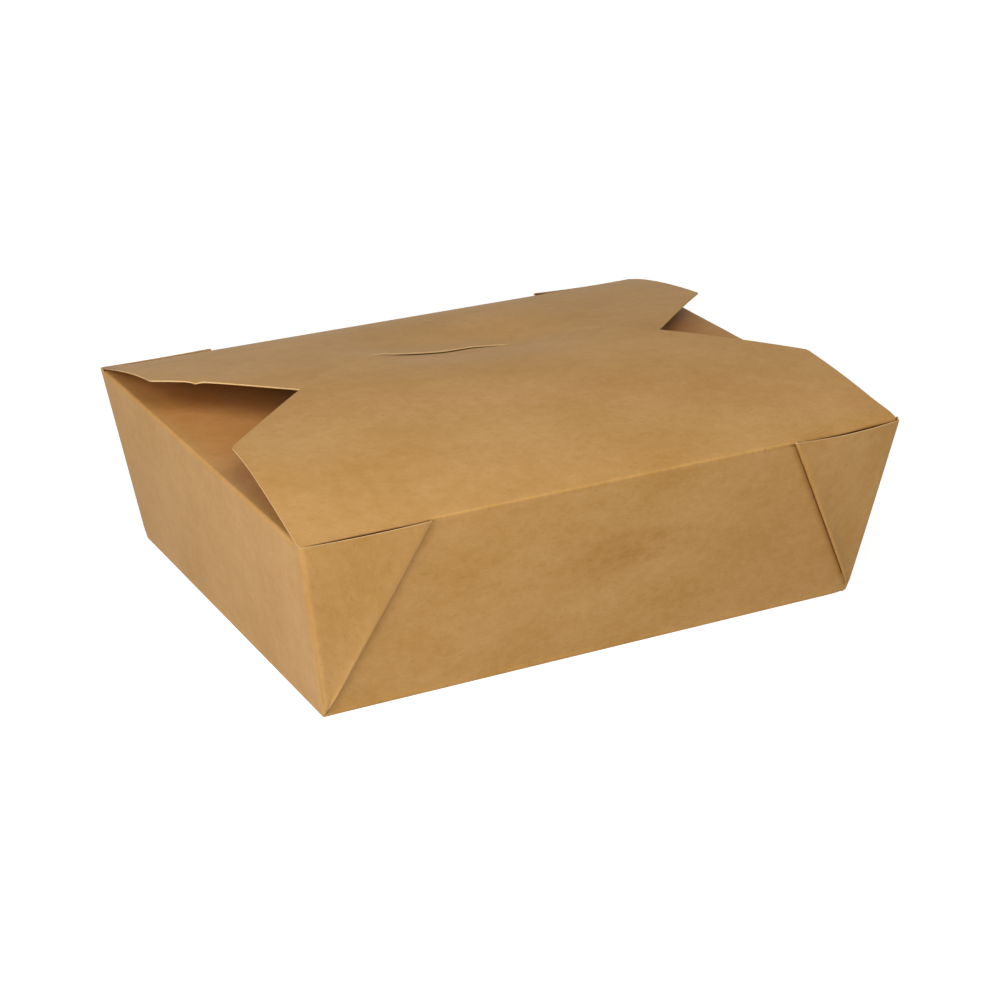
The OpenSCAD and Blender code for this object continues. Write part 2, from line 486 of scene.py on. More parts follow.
def web_corners() -> dict[tuple[int, int], Corner]:
    """Lists the four web corners by their end and side.

    Returns:
        The corners, each as worn and sprung as the real one.
    """
    corners = (
        Corner(
            end=LEFT,
            side=FRONT,
            ear_width=43.5,
            ear_top=-0.5,
            foot=0.4,
            tip=0.4,
            low_round=2.3,
            settle=1.0,
            rim_round=1.8,
            sag=0.2,
        ),
        Corner(
            end=RIGHT,
            side=FRONT,
            ear_width=41.0,
            ear_top=0.2,
            foot=1.2,
            tip=1.8,
            low_round=1.7,
            settle=3.0,
            rim_round=0.6,
            flare=0.4,
            nib=1.1,
            crown=0.4,
            sag=0.9,
            # This ear's fold faces the light, so it gets more painted highlight.
            worn=0.35,
            swell=0.75,
        ),
        Corner(
            end=LEFT,
            side=BACK,
            ear_width=41.5,
            ear_top=0.1,
            foot=0.4,
            tip=0.4,
            low_round=0.6,
            settle=1.5,
            crown=0.1,
        ),
        Corner(
            end=RIGHT,
            side=BACK,
            ear_width=43.0,
            ear_top=0.35,
            foot=0.9,
            tip=1.2,
            low_round=1.2,
            settle=1.5,
            crown=-0.2,
            sag=0.5,
        ),
    )
    return {(corner.end, corner.side): corner for corner in corners}


@dataclass
class Tray:
    """Base, walls and web corners of the box, drawn as level lines round the sheet.

    Lengths are in millimetres, and spring_from, fold_settle, round_share, row_ease and flap_slot are
    shares. A pair of values holds the heights at which a change starts and ends.
    """

    blank: Blank
    lid: LidForm
    base_fold: float = 0.6
    base_length: float = 190.0
    base_width: float = 148.0
    base_slack: float = 1.01
    layer_gap: float = 0.2
    wall_gap: float = 0.05
    ear_spring: float = 0.5
    spring_from: float = 0.45
    fold_lift: float = 0.6
    fold_settle: float = 0.7
    lift_rise: Point = (1.0, 9.0)
    swell_rise: Point = (2.0, 24.0)
    swell_sharp: int = 6
    inner_drop: float = 1.2
    end_space: float = 0.15
    scored: Point = (0.5, 3.5)
    tip_reach: float = 2.5
    round_share: float = 0.75
    flare_reach: float = 14.0
    nib_inset: float = 1.0
    nib_reach: float = 0.5
    upright_wear: float = 0.05
    lit_side: float = 2.0
    base_rows: int = 6
    wall_rows: int = 26
    row_ease: float = 0.75
    wing_cells: int = 22
    tongue_cells: int = 36
    flap_cells: int = 32
    flap_slot: float = 0.003
    front_seam: float = 61.8
    back_seam: float = 62.2
    left_seam: float = 61.2
    right_seam: float = 62.0
    end_flap_half: float = 84.0
    web_cells: tuple[tuple[Run, int], ...] = (
        (Run.INNER_FOLD, 4),
        (Run.INNER_LAYER, 6),
        (Run.EAR_FOLD, 6),
        (Run.OUTER_LAYER, 16),
        (Run.UPRIGHT, 8),
    )
    corners: dict[tuple[int, int], Corner] = field(default_factory=web_corners)

    def __post_init__(self) -> None:
        """Lists the columns of the level lines, once round the tray."""
        front = self.long_spacing(self.lid.tongue_x, self.lid.tongue_half)
        back = self.long_spacing(self.lid.slit_x, self.lid.slit_half)[::-1]
        ends = self.end_spacing()
        self.columns: list[Column] = []
        self.add(Run.LONG_WALL, 0, FRONT, front)
        self.add_web(RIGHT, FRONT)
        self.add(Run.END_WALL, RIGHT, 0, ends)
        self.add_web(RIGHT, BACK, homeward=True)
        self.add(Run.LONG_WALL, 0, BACK, back)
        self.add_web(LEFT, BACK)
        self.add(Run.END_WALL, LEFT, 0, ends[::-1])
        self.add_web(LEFT, FRONT, homeward=True)
        self.columns.append(self.columns[0])

    def add(self, run: Run, end: int, side: int, shares: Sequence[float]) -> None:
        """Adds a stretch of columns, without its last one, which the next stretch begins with."""
        self.columns += [Column(run, end, side, share) for share in shares[:-1]]

    def add_web(self, end: int, side: int, homeward: bool = False) -> None:
        """Adds the columns of one web corner.

        Args:
            end: End of the box that the corner is at.
            side: Side of the box that the corner is at.
            homeward: Whether the stretches are walked from the upright corner to the long wall.
        """
        step = -1 if homeward else 1
        for run, cells in self.web_cells[::step]:
            shares = [k / cells for k in range(cells + 1)]
            self.add(run, end, side, shares[::step])

    def long_spacing(self, middle: float, inner: float) -> list[float]:
        """Spaces the columns of a long wall in line with those of its lid flap.

        Args:
            middle: Middle of the tongue or the slit.
            inner: Half-width of the tongue or the slit.

        Returns:
            The shares along the wall, from left to right.
        """
        left = self.level(self.corners[LEFT, FRONT], self.blank.wall_height).inner_x
        right = self.level(self.corners[RIGHT, FRONT], self.blank.wall_height).inner_x
        places = lid_columns(left, right, middle, inner, self.wing_cells, self.tongue_cells)
        return [(x + left) / (left + right) for x in places]

    def end_spacing(self) -> list[float]:
        """Spaces the columns of an end wall in line with those of its flap.

        Returns:
            The shares along the wall, from the front to the back.
        """
        inner = self.flap_share()
        outer = inner + self.flap_slot
        flap = [mix(-inner, inner, k / self.flap_cells) for k in range(self.flap_cells + 1)]
        places = [-1, -(1 + inner) / 2, -outer, *flap, outer, (1 + inner) / 2, 1]
        return [(place + 1) / 2 for place in places]

    def flap_share(self) -> float:
        """Share of an end wall's half-length that its flap takes up."""
        return self.end_flap_half / self.end_reach(RIGHT, FRONT, self.right_seam)

    def long_seam(self, side: int) -> float:
        """Height at which a long wall hands over to its flap."""
        return self.front_seam if side == FRONT else self.back_seam

    def end_seam(self, end: int) -> float:
        """Height at which an end wall hands over to its flap."""
        return self.left_seam if end == LEFT else self.right_seam

    def end_reach(self, end: int, side: int, z: float) -> float:
        """Half-length of the flat part of an end wall at a height."""
        level = self.level(self.corners[end, side], z)
        return level.outer_y - level.radius

    def level(self, corner: Corner, z: float) -> Level:
        """Guide places of a web corner.

        Args:
            corner: The web corner.
            z: Height above the underside of the base.

        Returns:
            The distances from the middle of the box that the corner's stretches pass through.
        """
        blank = self.blank
        board = blank.board
        open_share = soft(ramp(z, corner.foot, corner.foot + corner.open_run))
        end_plane = blank.end_plane(z)
        wall_y = blank.side_plane(z) - blank.half
        inner_y = wall_y + open_share * (board + self.wall_gap)
        outer_y = inner_y + open_share * (board + self.layer_gap)
        low = (1 - ramp(z, corner.foot, blank.wall_height)) ** corner.settle
        width = corner.ear_width * ramp(z, corner.foot, blank.wall_height + corner.ear_top)
        widest = max(board, self.round_share * width)
        radius = min(mix(corner.rim_round, corner.low_round, low), widest)
        end_x = end_plane - blank.half
        tight = end_plane - board - self.end_space - (board + self.wall_gap) / 2
        inner_x = mix(end_x - radius, tight, open_share)
        ear_x = min(end_plane - width + (board + self.layer_gap) / 2, end_x - radius)
        return Level(wall_y, inner_y, outer_y, end_x, inner_x, ear_x, radius)

    def web_point(self, column: Column, z: float) -> Point:
        """Point of a web corner, before its ear springs off the wall.

        Args:
            column: Column in one of the corner's stretches.
            z: Height above the underside of the base.

        Returns:
            The distances from the middle of the box, along it and across it.
        """
        at = self.level(self.corners[column.end, column.side], z)
        turn = math.pi * column.share
        if column.run is Run.INNER_FOLD:
            bow = (at.inner_y - at.wall_y) / 2
            return at.inner_x + bow * math.sin(turn), at.wall_y + bow * (1 - math.cos(turn))
        if column.run is Run.INNER_LAYER:
            return mix(at.inner_x, at.ear_x, column.share), at.inner_y
        if column.run is Run.EAR_FOLD:
            bow = (at.outer_y - at.inner_y) / 2
            return at.ear_x - bow * math.sin(turn), at.inner_y + bow * (1 - math.cos(turn))
        if column.run is Run.OUTER_LAYER:
            return mix(at.ear_x, at.end_x - at.radius, column.share), at.outer_y
        turn /= 2
        along = at.end_x - at.radius * (1 - math.sin(turn))
        return along, at.outer_y - at.radius * (1 - math.cos(turn))

    def spring(self, column: Column, z: float) -> float:
        """How far an ear stands off the wall near its top and its slanting fold.

        Args:
            column: Column in one of a web corner's stretches.
            z: Height above the underside of the base.

        Returns:
            The distance, which is 0 outside the ear.
        """
        share = column.share
        if column.run is Run.INNER_LAYER:
            along, bulge = share, 0.0
        elif column.run is Run.EAR_FOLD:
            along, bulge = 1.0, soft(share)
        elif column.run is Run.OUTER_LAYER:
            along, bulge = 1 - share, (1 - share) ** self.swell_sharp
        else:
            return 0.0
        height = self.blank.wall_height
        high = ramp(z, self.spring_from * height, height)
        top = self.ear_spring * high**2 * arc(along)
        swell = self.corners[column.end, column.side].swell
        off = self.fold_lift * along**2 * (1 - self.fold_settle * high**2)
        off += bulge * swell * soft(ramp(z, *self.swell_rise))
        return top + off * soft(ramp(z, *self.lift_rise))

    def flat_place(self, column: Column, z: float) -> Point:
        """Place of a column at a height, without the base fold.

        Args:
            column: Column of the level lines.
            z: Height above the underside of the base.

        Returns:
            The place along the box and across it.
        """
        end, side = column.end, column.side
        high = ramp(z, 0, self.blank.wall_height) ** 2
        if column.run is Run.LONG_WALL:
            left = self.level(self.corners[LEFT, side], z)
            right = self.level(self.corners[RIGHT, side], z)
            return mix(-left.inner_x, right.inner_x, column.share), side * left.wall_y
        if column.run is Run.END_WALL:
            y = mix(-self.end_reach(end, FRONT, z), self.end_reach(end, BACK, z), column.share)
            corner = self.corners[end, FRONT if y < 0 else BACK]
            near = bell(abs(y), self.blank.side_plane(z), self.flare_reach)
            return end * (self.level(corner, z).end_x + corner.flare * near * high), y
        x, y = self.web_point(column, z)
        near = bell(self.blank.end_plane(z) - x, 0, self.flare_reach)
        x += self.corners[end, side].flare * near * high
        return end * x, side * (y + self.spring(column, z))

    def inward(self, column: Column) -> Vector:
        """Level direction from a column towards the inside of the box.

        Args:
            column: Column of the level lines.

        Returns:
            The direction, with a length of 1.
        """
        if column.run is Run.END_WALL:
            return Vector((-column.end, 0, 0))
        turn = math.pi / 2 * column.share if column.run is Run.UPRIGHT else 0.0
        return Vector((-column.end * math.sin(turn), -column.side * math.cos(turn), 0))

    def fold_radius(self, column: Column) -> float:
        """Radius of the base fold under a column.

        Args:
            column: Column of the level lines.

        Returns:
            The radius, which goes over to that of the web corners at both ends of a wall.
        """
        if column.run is Run.LONG_WALL:
            near, far = self.corners[LEFT, column.side], self.corners[RIGHT, column.side]
            length = self.base_length
        elif column.run is Run.END_WALL:
            near, far = self.corners[column.end, FRONT], self.corners[column.end, BACK]
            length = self.base_width
        else:
            return self.corners[column.end, column.side].tip
        fold = self.base_fold
        fold += (near.tip - self.base_fold) * bell(column.share * length, 0, self.tip_reach)
        fold += (far.tip - self.base_fold) * bell((1 - column.share) * length, 0, self.tip_reach)
        return fold

    def top(self, column: Column) -> float:
        """Height of the upper end of a column.

        Args:
            column: Column of the level lines.

        Returns:
            The height above the underside of the base.
        """
        if column.run is Run.LONG_WALL:
            return self.long_seam(column.side)
        if column.run is Run.END_WALL:
            return self.end_top(column)
        corner = self.corners[column.end, column.side]
        ear = self.blank.wall_height + corner.ear_top
        crown = self.blank.wall_height + corner.crown
        if column.run is Run.INNER_FOLD:
            return mix(self.long_seam(column.side), crown, column.share)
        if column.run is Run.UPRIGHT:
            return crown
        if column.run is Run.EAR_FOLD:
            return ear
        inner = column.run is Run.INNER_LAYER
        along = column.share if inner else 1 - column.share
        drop = corner.sag + (self.inner_drop if inner else 0.0)
        return mix(crown, ear, along) - drop * arc(along)

    def end_top(self, column: Column) -> float:
        """Height of the upper end of a column of an end wall, with the spike beside its flap.

        Args:
            column: Column of an end wall.

        Returns:
            The height above the underside of the base.
        """
        inner = self.flap_share()
        off_middle = abs(2 * column.share - 1)
        if off_middle < inner + self.flap_slot / 2:
            return self.end_seam(column.end)
        corner = self.corners[column.end, FRONT if column.share < 0.5 else BACK]
        inset = (1 - off_middle) * self.end_flap_half / inner
        spike = corner.nib * bell(inset, self.nib_inset, self.nib_reach)
        return self.blank.wall_height + corner.crown + spike

    def spot(self, index: int, row: int) -> Spot:
        """Point of the sheet for a column and a row.

        Args:
            index: Number of the column, counted round the tray.
            row: Number of the row, counted from the base to the rim.

        Returns:
            The point, with its place on the flat blank.
        """
        column = self.columns[index]
        lean = self.blank.lean
        radius = self.fold_radius(column)
        bow = radius - self.blank.half
        low = radius - bow * math.sin(lean)
        # Along the base fold the board is lightened: partly wear of the scored fold, partly painted
        # highlight of light bounced up from the floor.
        if row <= self.base_rows:
            turn = mix(math.pi / 2, lean, row / self.base_rows)
            place = Vector((*self.flat_place(column, low), radius - bow * math.sin(turn)))
            place += self.inward(column) * bow * (math.cos(lean) - math.cos(turn))
            crease = arc(row / self.base_rows)
        else:
            rise = (row - self.base_rows) / self.wall_rows
            z = mix(low, self.top(column), mix(rise, soft(rise), self.row_ease))
            place = Vector((*self.flat_place(column, z), z))
            crease = max(self.upright_crease(column), 1 - ramp(z, *self.scored))
        # The ear's hidden inner layer is painted fully shaded, so the gap behind the ear's top reads
        # dark; long walls keep their distance from the ears for the painted shadow beside them.
        recess = 1.0 if column.run is Run.INNER_LAYER else 0.0
        beside = self.beside(column, place) if column.run is Run.LONG_WALL else Spot.beside
        return Spot(place, self.unfolded(column, place), crease, recess, beside)

    def beside(self, column: Column, place: Vector) -> float:
        """Distance of a point of a long wall from the nearer ear, which sets the painted shadow
        beside the ear, stretched on the lit side so that the shadow there is narrower.
        """
        left = self.level(self.corners[LEFT, column.side], place.z).ear_x + place.x
        right = self.level(self.corners[RIGHT, column.side], place.z).ear_x - place.x
        return min(left, self.lit_side * right)

    def upright_crease(self, column: Column) -> float:
        """How hard the sheet is creased along a column of a wall."""
        # Upright corners and ear folds are lightened: partly wear, partly painted highlight.
        if column.run is Run.UPRIGHT:
            return self.upright_wear * arc(column.share)
        return self.corners[column.end, column.side].worn if column.run is Run.EAR_FOLD else 0.0

    def unfolded(self, column: Column, place: Vector) -> Point:
        """Place of a point on the flat blank.

        Args:
            column: Column that the point is on.
            place: Place of the point on the folded box.

        Returns:
            The place along the blank and across it, from its middle.
        """
        end, side = column.end, column.side
        along = self.blank.end_plane(0) + place.z
        web = self.blank.end_plane(place.z) - abs(place.x)
        if column.run is Run.LONG_WALL:
            return place.x, place.y + side * place.z
        if column.run is Run.END_WALL:
            return place.x + end * place.z, place.y
        if column.run in (Run.OUTER_LAYER, Run.UPRIGHT):
            return end * along, side * (abs(place.y) + web)
        return end * (along + web), side * (self.blank.side_plane(0) + place.z)

    def build(self, sheet: FoldedSheet) -> None:
        """Lays the tray on the sheet and closes its base."""
        sheet.lay(len(self.columns) - 1, self.base_rows + self.wall_rows, self.spot)
        sheet.close_base(self.base_slack * self.blank.half)


def lid_columns(
    left: float, right: float, middle: float, inner: float, wing: int, tongue: int
) -> list[float]:
    """Places along a lid flap: a wing at each side and the tongue's width in the middle.

    Args:
        left: Reach of the flap to the left.
        right: Reach of the flap to the right.
        middle: Middle of the tongue.
        inner: Half-width of the tongue.
        wing: Number of cells in each wing.
        tongue: Number of cells in the tongue.

    Returns:
        The places, from left to right.
    """
    places = spaced(-left, middle - inner, wing)
    places += spaced(middle - inner, middle + inner, tongue)
    places += spaced(middle + inner, right, wing)
    return [*places, right]


@dataclass
class EndFlap:
    """Flap bent in over an end wall and tucked under the lid, in millimetres.

    The board's colour deepens and turns redder over the pair of distances from the fold: partly
    its own tone and partly painted warm bounce light in the shade under the lid.
    """

    tray: Tray
    end: int
    drop: float
    fold_run: float
    slant: float = 9.5
    length: float = 69.5
    fall: float = 2.5
    fall_ease: float = 1.2
    fold_rows: int = 10
    panel_rows: int = 26
    row_ease: float = 1.3
    end_round: float = 5.0
    round_run: float = 3.5
    round_sharp: float = 2.5
    worn: float = 0.04
    deep: Point = (-2.0, 8.0)

    def spot(self, column: int, row: int) -> Spot:
        """Point of the flap for a column and a row.

        Args:
            column: Number of the column, counted along the end wall's own columns.
            row: Number of the row, counted from the wall to the free edge.

        Returns:
            The point, with its place on the flat blank.
        """
        blank = self.tray.blank
        across = self.end * (2 * column / self.tray.flap_cells - 1)
        crease = 0.0
        if row <= self.fold_rows:
            turn = row / self.fold_rows
            run = self.fold_run * turn
            place = self.fold_point(across, turn)
            # The fold is lightened a little: partly wear, partly painted highlight.
            crease = self.worn * arc(turn)
        else:
            share = (row - self.fold_rows) / self.panel_rows
            run = mix(self.fold_run, self.length, 1 - (1 - share) ** self.row_ease)
            place = self.panel(run, across)
        flat = (self.end * (blank.end_plane(0) + blank.wall_height + run), place.y)
        # Redder away from the fold: partly the flap's own tone, partly painted warm bounce light.
        return Spot(place, flat, crease, sheltered=soft(ramp(run, *self.deep)))

    def fold_point(self, across: float, turn: float) -> Vector:
        """Point of the fold between the end wall and the flap.

        Args:
            across: Place across the flap, from -1 at the front to 1 at the back.
            turn: Share of the way round the fold.

        Returns:
            The point on the folded box.
        """
        blank = self.tray.blank
        wall = self.wall_top(across)
        panel = self.panel(self.fold_run, across)
        meet_z = blank.fold_z - self.drop
        lean = blank.end_plane(meet_z) - blank.end_plane(wall.z)
        meet = Vector((wall.x + self.end * lean, (wall.y + panel.y) / 2, meet_z))
        return bent(wall, meet, panel, turn)

    def wall_top(self, across: float) -> Vector:
        """Point where the end wall hands over to the flap.

        Args:
            across: Place across the flap, from -1 at the front to 1 at the back.

        Returns:
            The point on the folded box.
        """
        share = (self.tray.flap_share() * across + 1) / 2
        seam = self.tray.end_seam(self.end)
        column = Column(Run.END_WALL, self.end, 0, share)
        return Vector((*self.tray.flat_place(column, seam), seam))

    def panel(self, run: float, across: float) -> Vector:
        """Point of the flat part of the flap.

        Args:
            run: Distance from the flap's fold.
            across: Place across the flap, from -1 at the front to 1 at the back.

        Returns:
            The point on the folded box.
        """
        blank = self.tray.blank
        z = blank.fold_z - self.drop - self.fall * (run / self.length) ** self.fall_ease
        x = blank.rim_length / 2 - blank.half - run
        return Vector((self.end * x, self.reach(run) * across, z))

    def reach(self, run: float) -> float:
        """Half-width of the flap at a distance from its fold."""
        end = ramp(run, self.length - self.round_run, self.length)
        taper = math.tan(math.radians(self.slant)) * run
        return self.tray.end_flap_half - taper - self.end_round * end**self.round_sharp

    def build(self, sheet: FoldedSheet) -> None:
        """Lays the flap on the sheet."""
        sheet.lay(self.tray.flap_cells, self.fold_rows + self.panel_rows, self.spot)


@dataclass
class LidFlap:
    """What the two flaps of the lid share."""

    tray: Tray
    lid: LidForm

    @property
    def columns(self) -> int:
        """Number of cells along the flap."""
        return 2 * self.tray.wing_cells + self.tray.tongue_cells

    def in_middle(self, column: int) -> bool:
        """Whether a column of cells is in line with the tongue and the slit."""
        wing = self.tray.wing_cells
        return wing <= column < wing + self.tray.tongue_cells

    def spread(self, left: float, right: float, middle: float, inner: float) -> list[float]:
        """Places along the flap for one row, from left to right."""
        cells = self.tray.wing_cells, self.tray.tongue_cells
        return lid_columns(left, right, middle, inner, *cells)

    def wall_point(self, side: int, share: float, z: float) -> Vector:
        """Point of the long wall that the flap is folded from."""
        column = Column(Run.LONG_WALL, 0, side, share)
        return Vector((*self.tray.flat_place(column, z), z))


@dataclass
class BackFlap(LidFlap):
    """Flap bent forward over the end flaps and slit for the tongue.

    Lengths are in millimetres. A pair of values holds the places where a change starts and ends. For
    lap_fade and spring_from they are shares of the way from the middle to the fold and to the edge.
    """

    side_length: float = 48.3
    slant: float = 48.2
    nose: float = 42.0
    lap: float = 0.55
    lap_fade: Point = (0.53, 0.92)
    free: Point = (72.0, 100.0)
    slit_fore: float = 0.55
    slit_rear: float = 0.38
    slit_lift: float = 1.0
    slit_blend: float = 15.0
    lift_run: float = 14.0
    mouth_sharp: int = 6
    mouth_slope: float = 0.15
    nicks: tuple[float, ...] = (-22.4, 21.6)
    nick_bridge: float = 0.9
    nick_reach: float = 0.8
    corner_spring: float = 0.45
    spring_from: float = 0.88
    spring_reach: float = 8.0
    corner_flare: float = 0.7
    flare_rise: Point = (70.0, 84.0)
    corner_shade: float = 0.5
    shade_rise: Point = (62.0, 80.0)
    corner_ease: float = 0.6
    fold_run: float = 1.3
    burr_y: float = 26.3
    burr_reach: float = 1.0
    burr_drop: float = 0.7
    near_run: float = 8.0
    fore_gap: float = 1.0
    rear_gap: float = 2.0
    nose_rows: int = 16
    near_rows: int = 9
    rear_rows: int = 14
    corner_rows: int = 8
    side_rows: int = 24
    fold_rows: int = 8

    def __post_init__(self) -> None:
        """Lists the rows across the flap, from its nose to the back fold."""
        slit_y = self.lid.slit_y
        near_y = slit_y - self.near_run
        cut_y = self.lid.blank.fold_y - self.side_length
        cut_from, cut_to = cut_y - self.corner_ease, cut_y + self.corner_ease
        self.fold_start = self.lid.blank.fold_y - self.fold_run
        self.fore = spaced(slit_y - self.nose, near_y, self.nose_rows)
        self.fore += spaced(near_y, slit_y - self.fore_gap, self.near_rows)
        self.rear = spaced(slit_y + self.rear_gap, cut_from, self.rear_rows)
        self.rear += spaced(cut_from, cut_to, self.corner_rows)
        self.rear += spaced(cut_to, self.fold_start, self.side_rows)
        self.slit_row = len(self.fore)
        self.rear_row = self.slit_row + 2
        self.lid_rows = self.rear_row + len(self.rear)

    def edge(self, y: float, end: int) -> float:
        """Half-width of the flap.

        Args:
            y: Place across the box.
            end: -1 for the left edge and 1 for the right one.

        Returns:
            The distance of the edge from the middle of the box.
        """
        cut = slanted(self.lid.blank.fold_y - self.side_length - y, self.corner_ease)
        flare = self.corner_flare * soft(ramp(y, *self.flare_rise)) if end == LEFT else 0.0
        return self.lid.half_span - math.tan(math.radians(self.slant)) * cut + flare

    def under(self, x: float, y: float) -> float:
        """Height of the flap where it lies under, or behind, the front flap.

        Args:
            x: Place along the box.
            y: Place across the box.

        Returns:
            The height of the middle of the board.
        """
        fold_y, span = self.lid.blank.fold_y, self.lid.half_span
        lapped = soft(1 - ramp(y / fold_y, *self.lap_fade))
        lapped *= 1 - soft(ramp(abs(x), *self.free))
        corner = soft(ramp(-x, self.spring_from * span, span))
        corner *= bell(y, fold_y, self.spring_reach)
        return self.lid.height(x, y) - self.lap * lapped + self.corner_spring * corner

    def lift(self, x: float, y: float) -> float:
        """How far the tongue holds up the flap behind the slit.

        Args:
            x: Place along the box.
            y: Place across the box.

        Returns:
            The height above where the flap would lie without the tongue.
        """
        slit_y = self.lid.slit_y
        along = (x - self.lid.slit_x) / self.lid.slit_half
        mouth = max(0.0, 1 - along**self.mouth_sharp) * (1 - self.mouth_slope * along)
        return self.slit_lift * mouth * (1 - ramp(y, slit_y, slit_y + self.lift_run)) ** 2

    def along(self, y: float) -> list[float]:
        """Places along the flap for one row."""
        edges = self.edge(y, LEFT), self.edge(y, RIGHT)
        return self.spread(*edges, self.lid.slit_x, self.lid.slit_half)

    def point(self, column: int, row: int) -> Vector:
        """Point of the flap in front of its fold.

        Args:
            column: Number of the column, from left to right.
            row: Number of the row, counted from the flap's nose.

        Returns:
            The point on the folded box.
        """
        if self.slit_row <= row < self.rear_row:
            place = self.slit_point(column, row - self.slit_row)
        else:
            behind = row >= self.rear_row
            y = self.rear[row - self.rear_row] if behind else self.fore[row]
            x = self.along(y)[column]
            raised = self.lift(x, y) if behind else 0.0
            place = Vector((x, y, self.under(x, y) + raised))
        if column == 0:
            place.z -= self.burr_drop * bell(place.y, self.burr_y, self.burr_reach)
        return place

    def slit_point(self, column: int, rear: int) -> Vector:
        """Point of the slit's edge, or of the board in line with it.

        Args:
            column: Number of the column, from left to right.
            rear: 0 for the edge nearer the nose of the flap and 1 for the other one.

        Returns:
            The point on the folded box.
        """
        slit_y = self.lid.slit_y
        x = self.along(slit_y)[column]
        z = self.lid.height(x, slit_y) - self.lap
        offset = self.slit_rear if rear else -self.slit_fore
        past_end = abs(x - self.lid.slit_x) - self.lid.slit_half
        aside = soft(ramp(past_end, 0, self.slit_blend))
        y = mix(self.lid.swing_y(z, offset), slit_y + offset, aside)
        bridge = self.nick_bridge * sum(bell(x, nick, self.nick_reach) for nick in self.nicks)
        x = self.along(y)[column]
        z = mix(z, self.under(x, y), aside) + rear * self.lift(x, slit_y)
        return Vector((x, y - rear * bridge, z))

    def fold_point(self, column: int, turn: float) -> Vector:
        """Point of the fold between the flap and the back wall.

        Args:
            column: Number of the column, from left to right.
            turn: Share of the way round the fold.

        Returns:
            The point on the folded box.
        """
        y = self.fold_start
        x = self.along(y)[column]
        lid = Vector((x, y, self.under(x, y)))
        share = self.tray.long_spacing(self.lid.slit_x, self.lid.slit_half)[column]
        wall = self.wall_point(BACK, share, self.tray.back_seam)
        meet_z = lid.z - slope(self.under, x, y, -SLOPE_STEP) * self.fold_run
        return bent(lid, Vector((wall.x, self.lid.blank.fold_y, meet_z)), wall, turn)

    def spot(self, column: int, row: int) -> Spot:
        """Point of the flap for a column and a row.

        Args:
            column: Number of the column, from left to right.
            row: Number of the row, counted from the flap's nose to the wall.

        Returns:
            The point, with its place on the flat blank.
        """
        blank = self.lid.blank
        if row < self.lid_rows:
            place = self.point(column, row)
            crease = 0.0
        else:
            turn = (row - self.lid_rows) / self.fold_rows
            place = self.fold_point(column, turn)
            crease = arc(turn)
        flat = (place.x, blank.flap_start + blank.fold_y - place.y)
        # Painted shade on the flap's left edge towards the back corner, where its cut edge lies over
        # shade.
        shade = self.corner_shade * soft(ramp(place.y, *self.shade_rise))
        return Spot(place, flat, crease, shade if column == 0 else 0.0)

    def kept(self, column: int, row: int) -> bool:
        """Whether a cell of the flap is board and not slit."""
        return row != self.slit_row or not self.in_middle(column)

    def build(self, sheet: FoldedSheet) -> None:
        """Lays the flap on the sheet."""
        sheet.lay(self.columns, self.lid_rows + self.fold_rows, self.spot, self.kept)


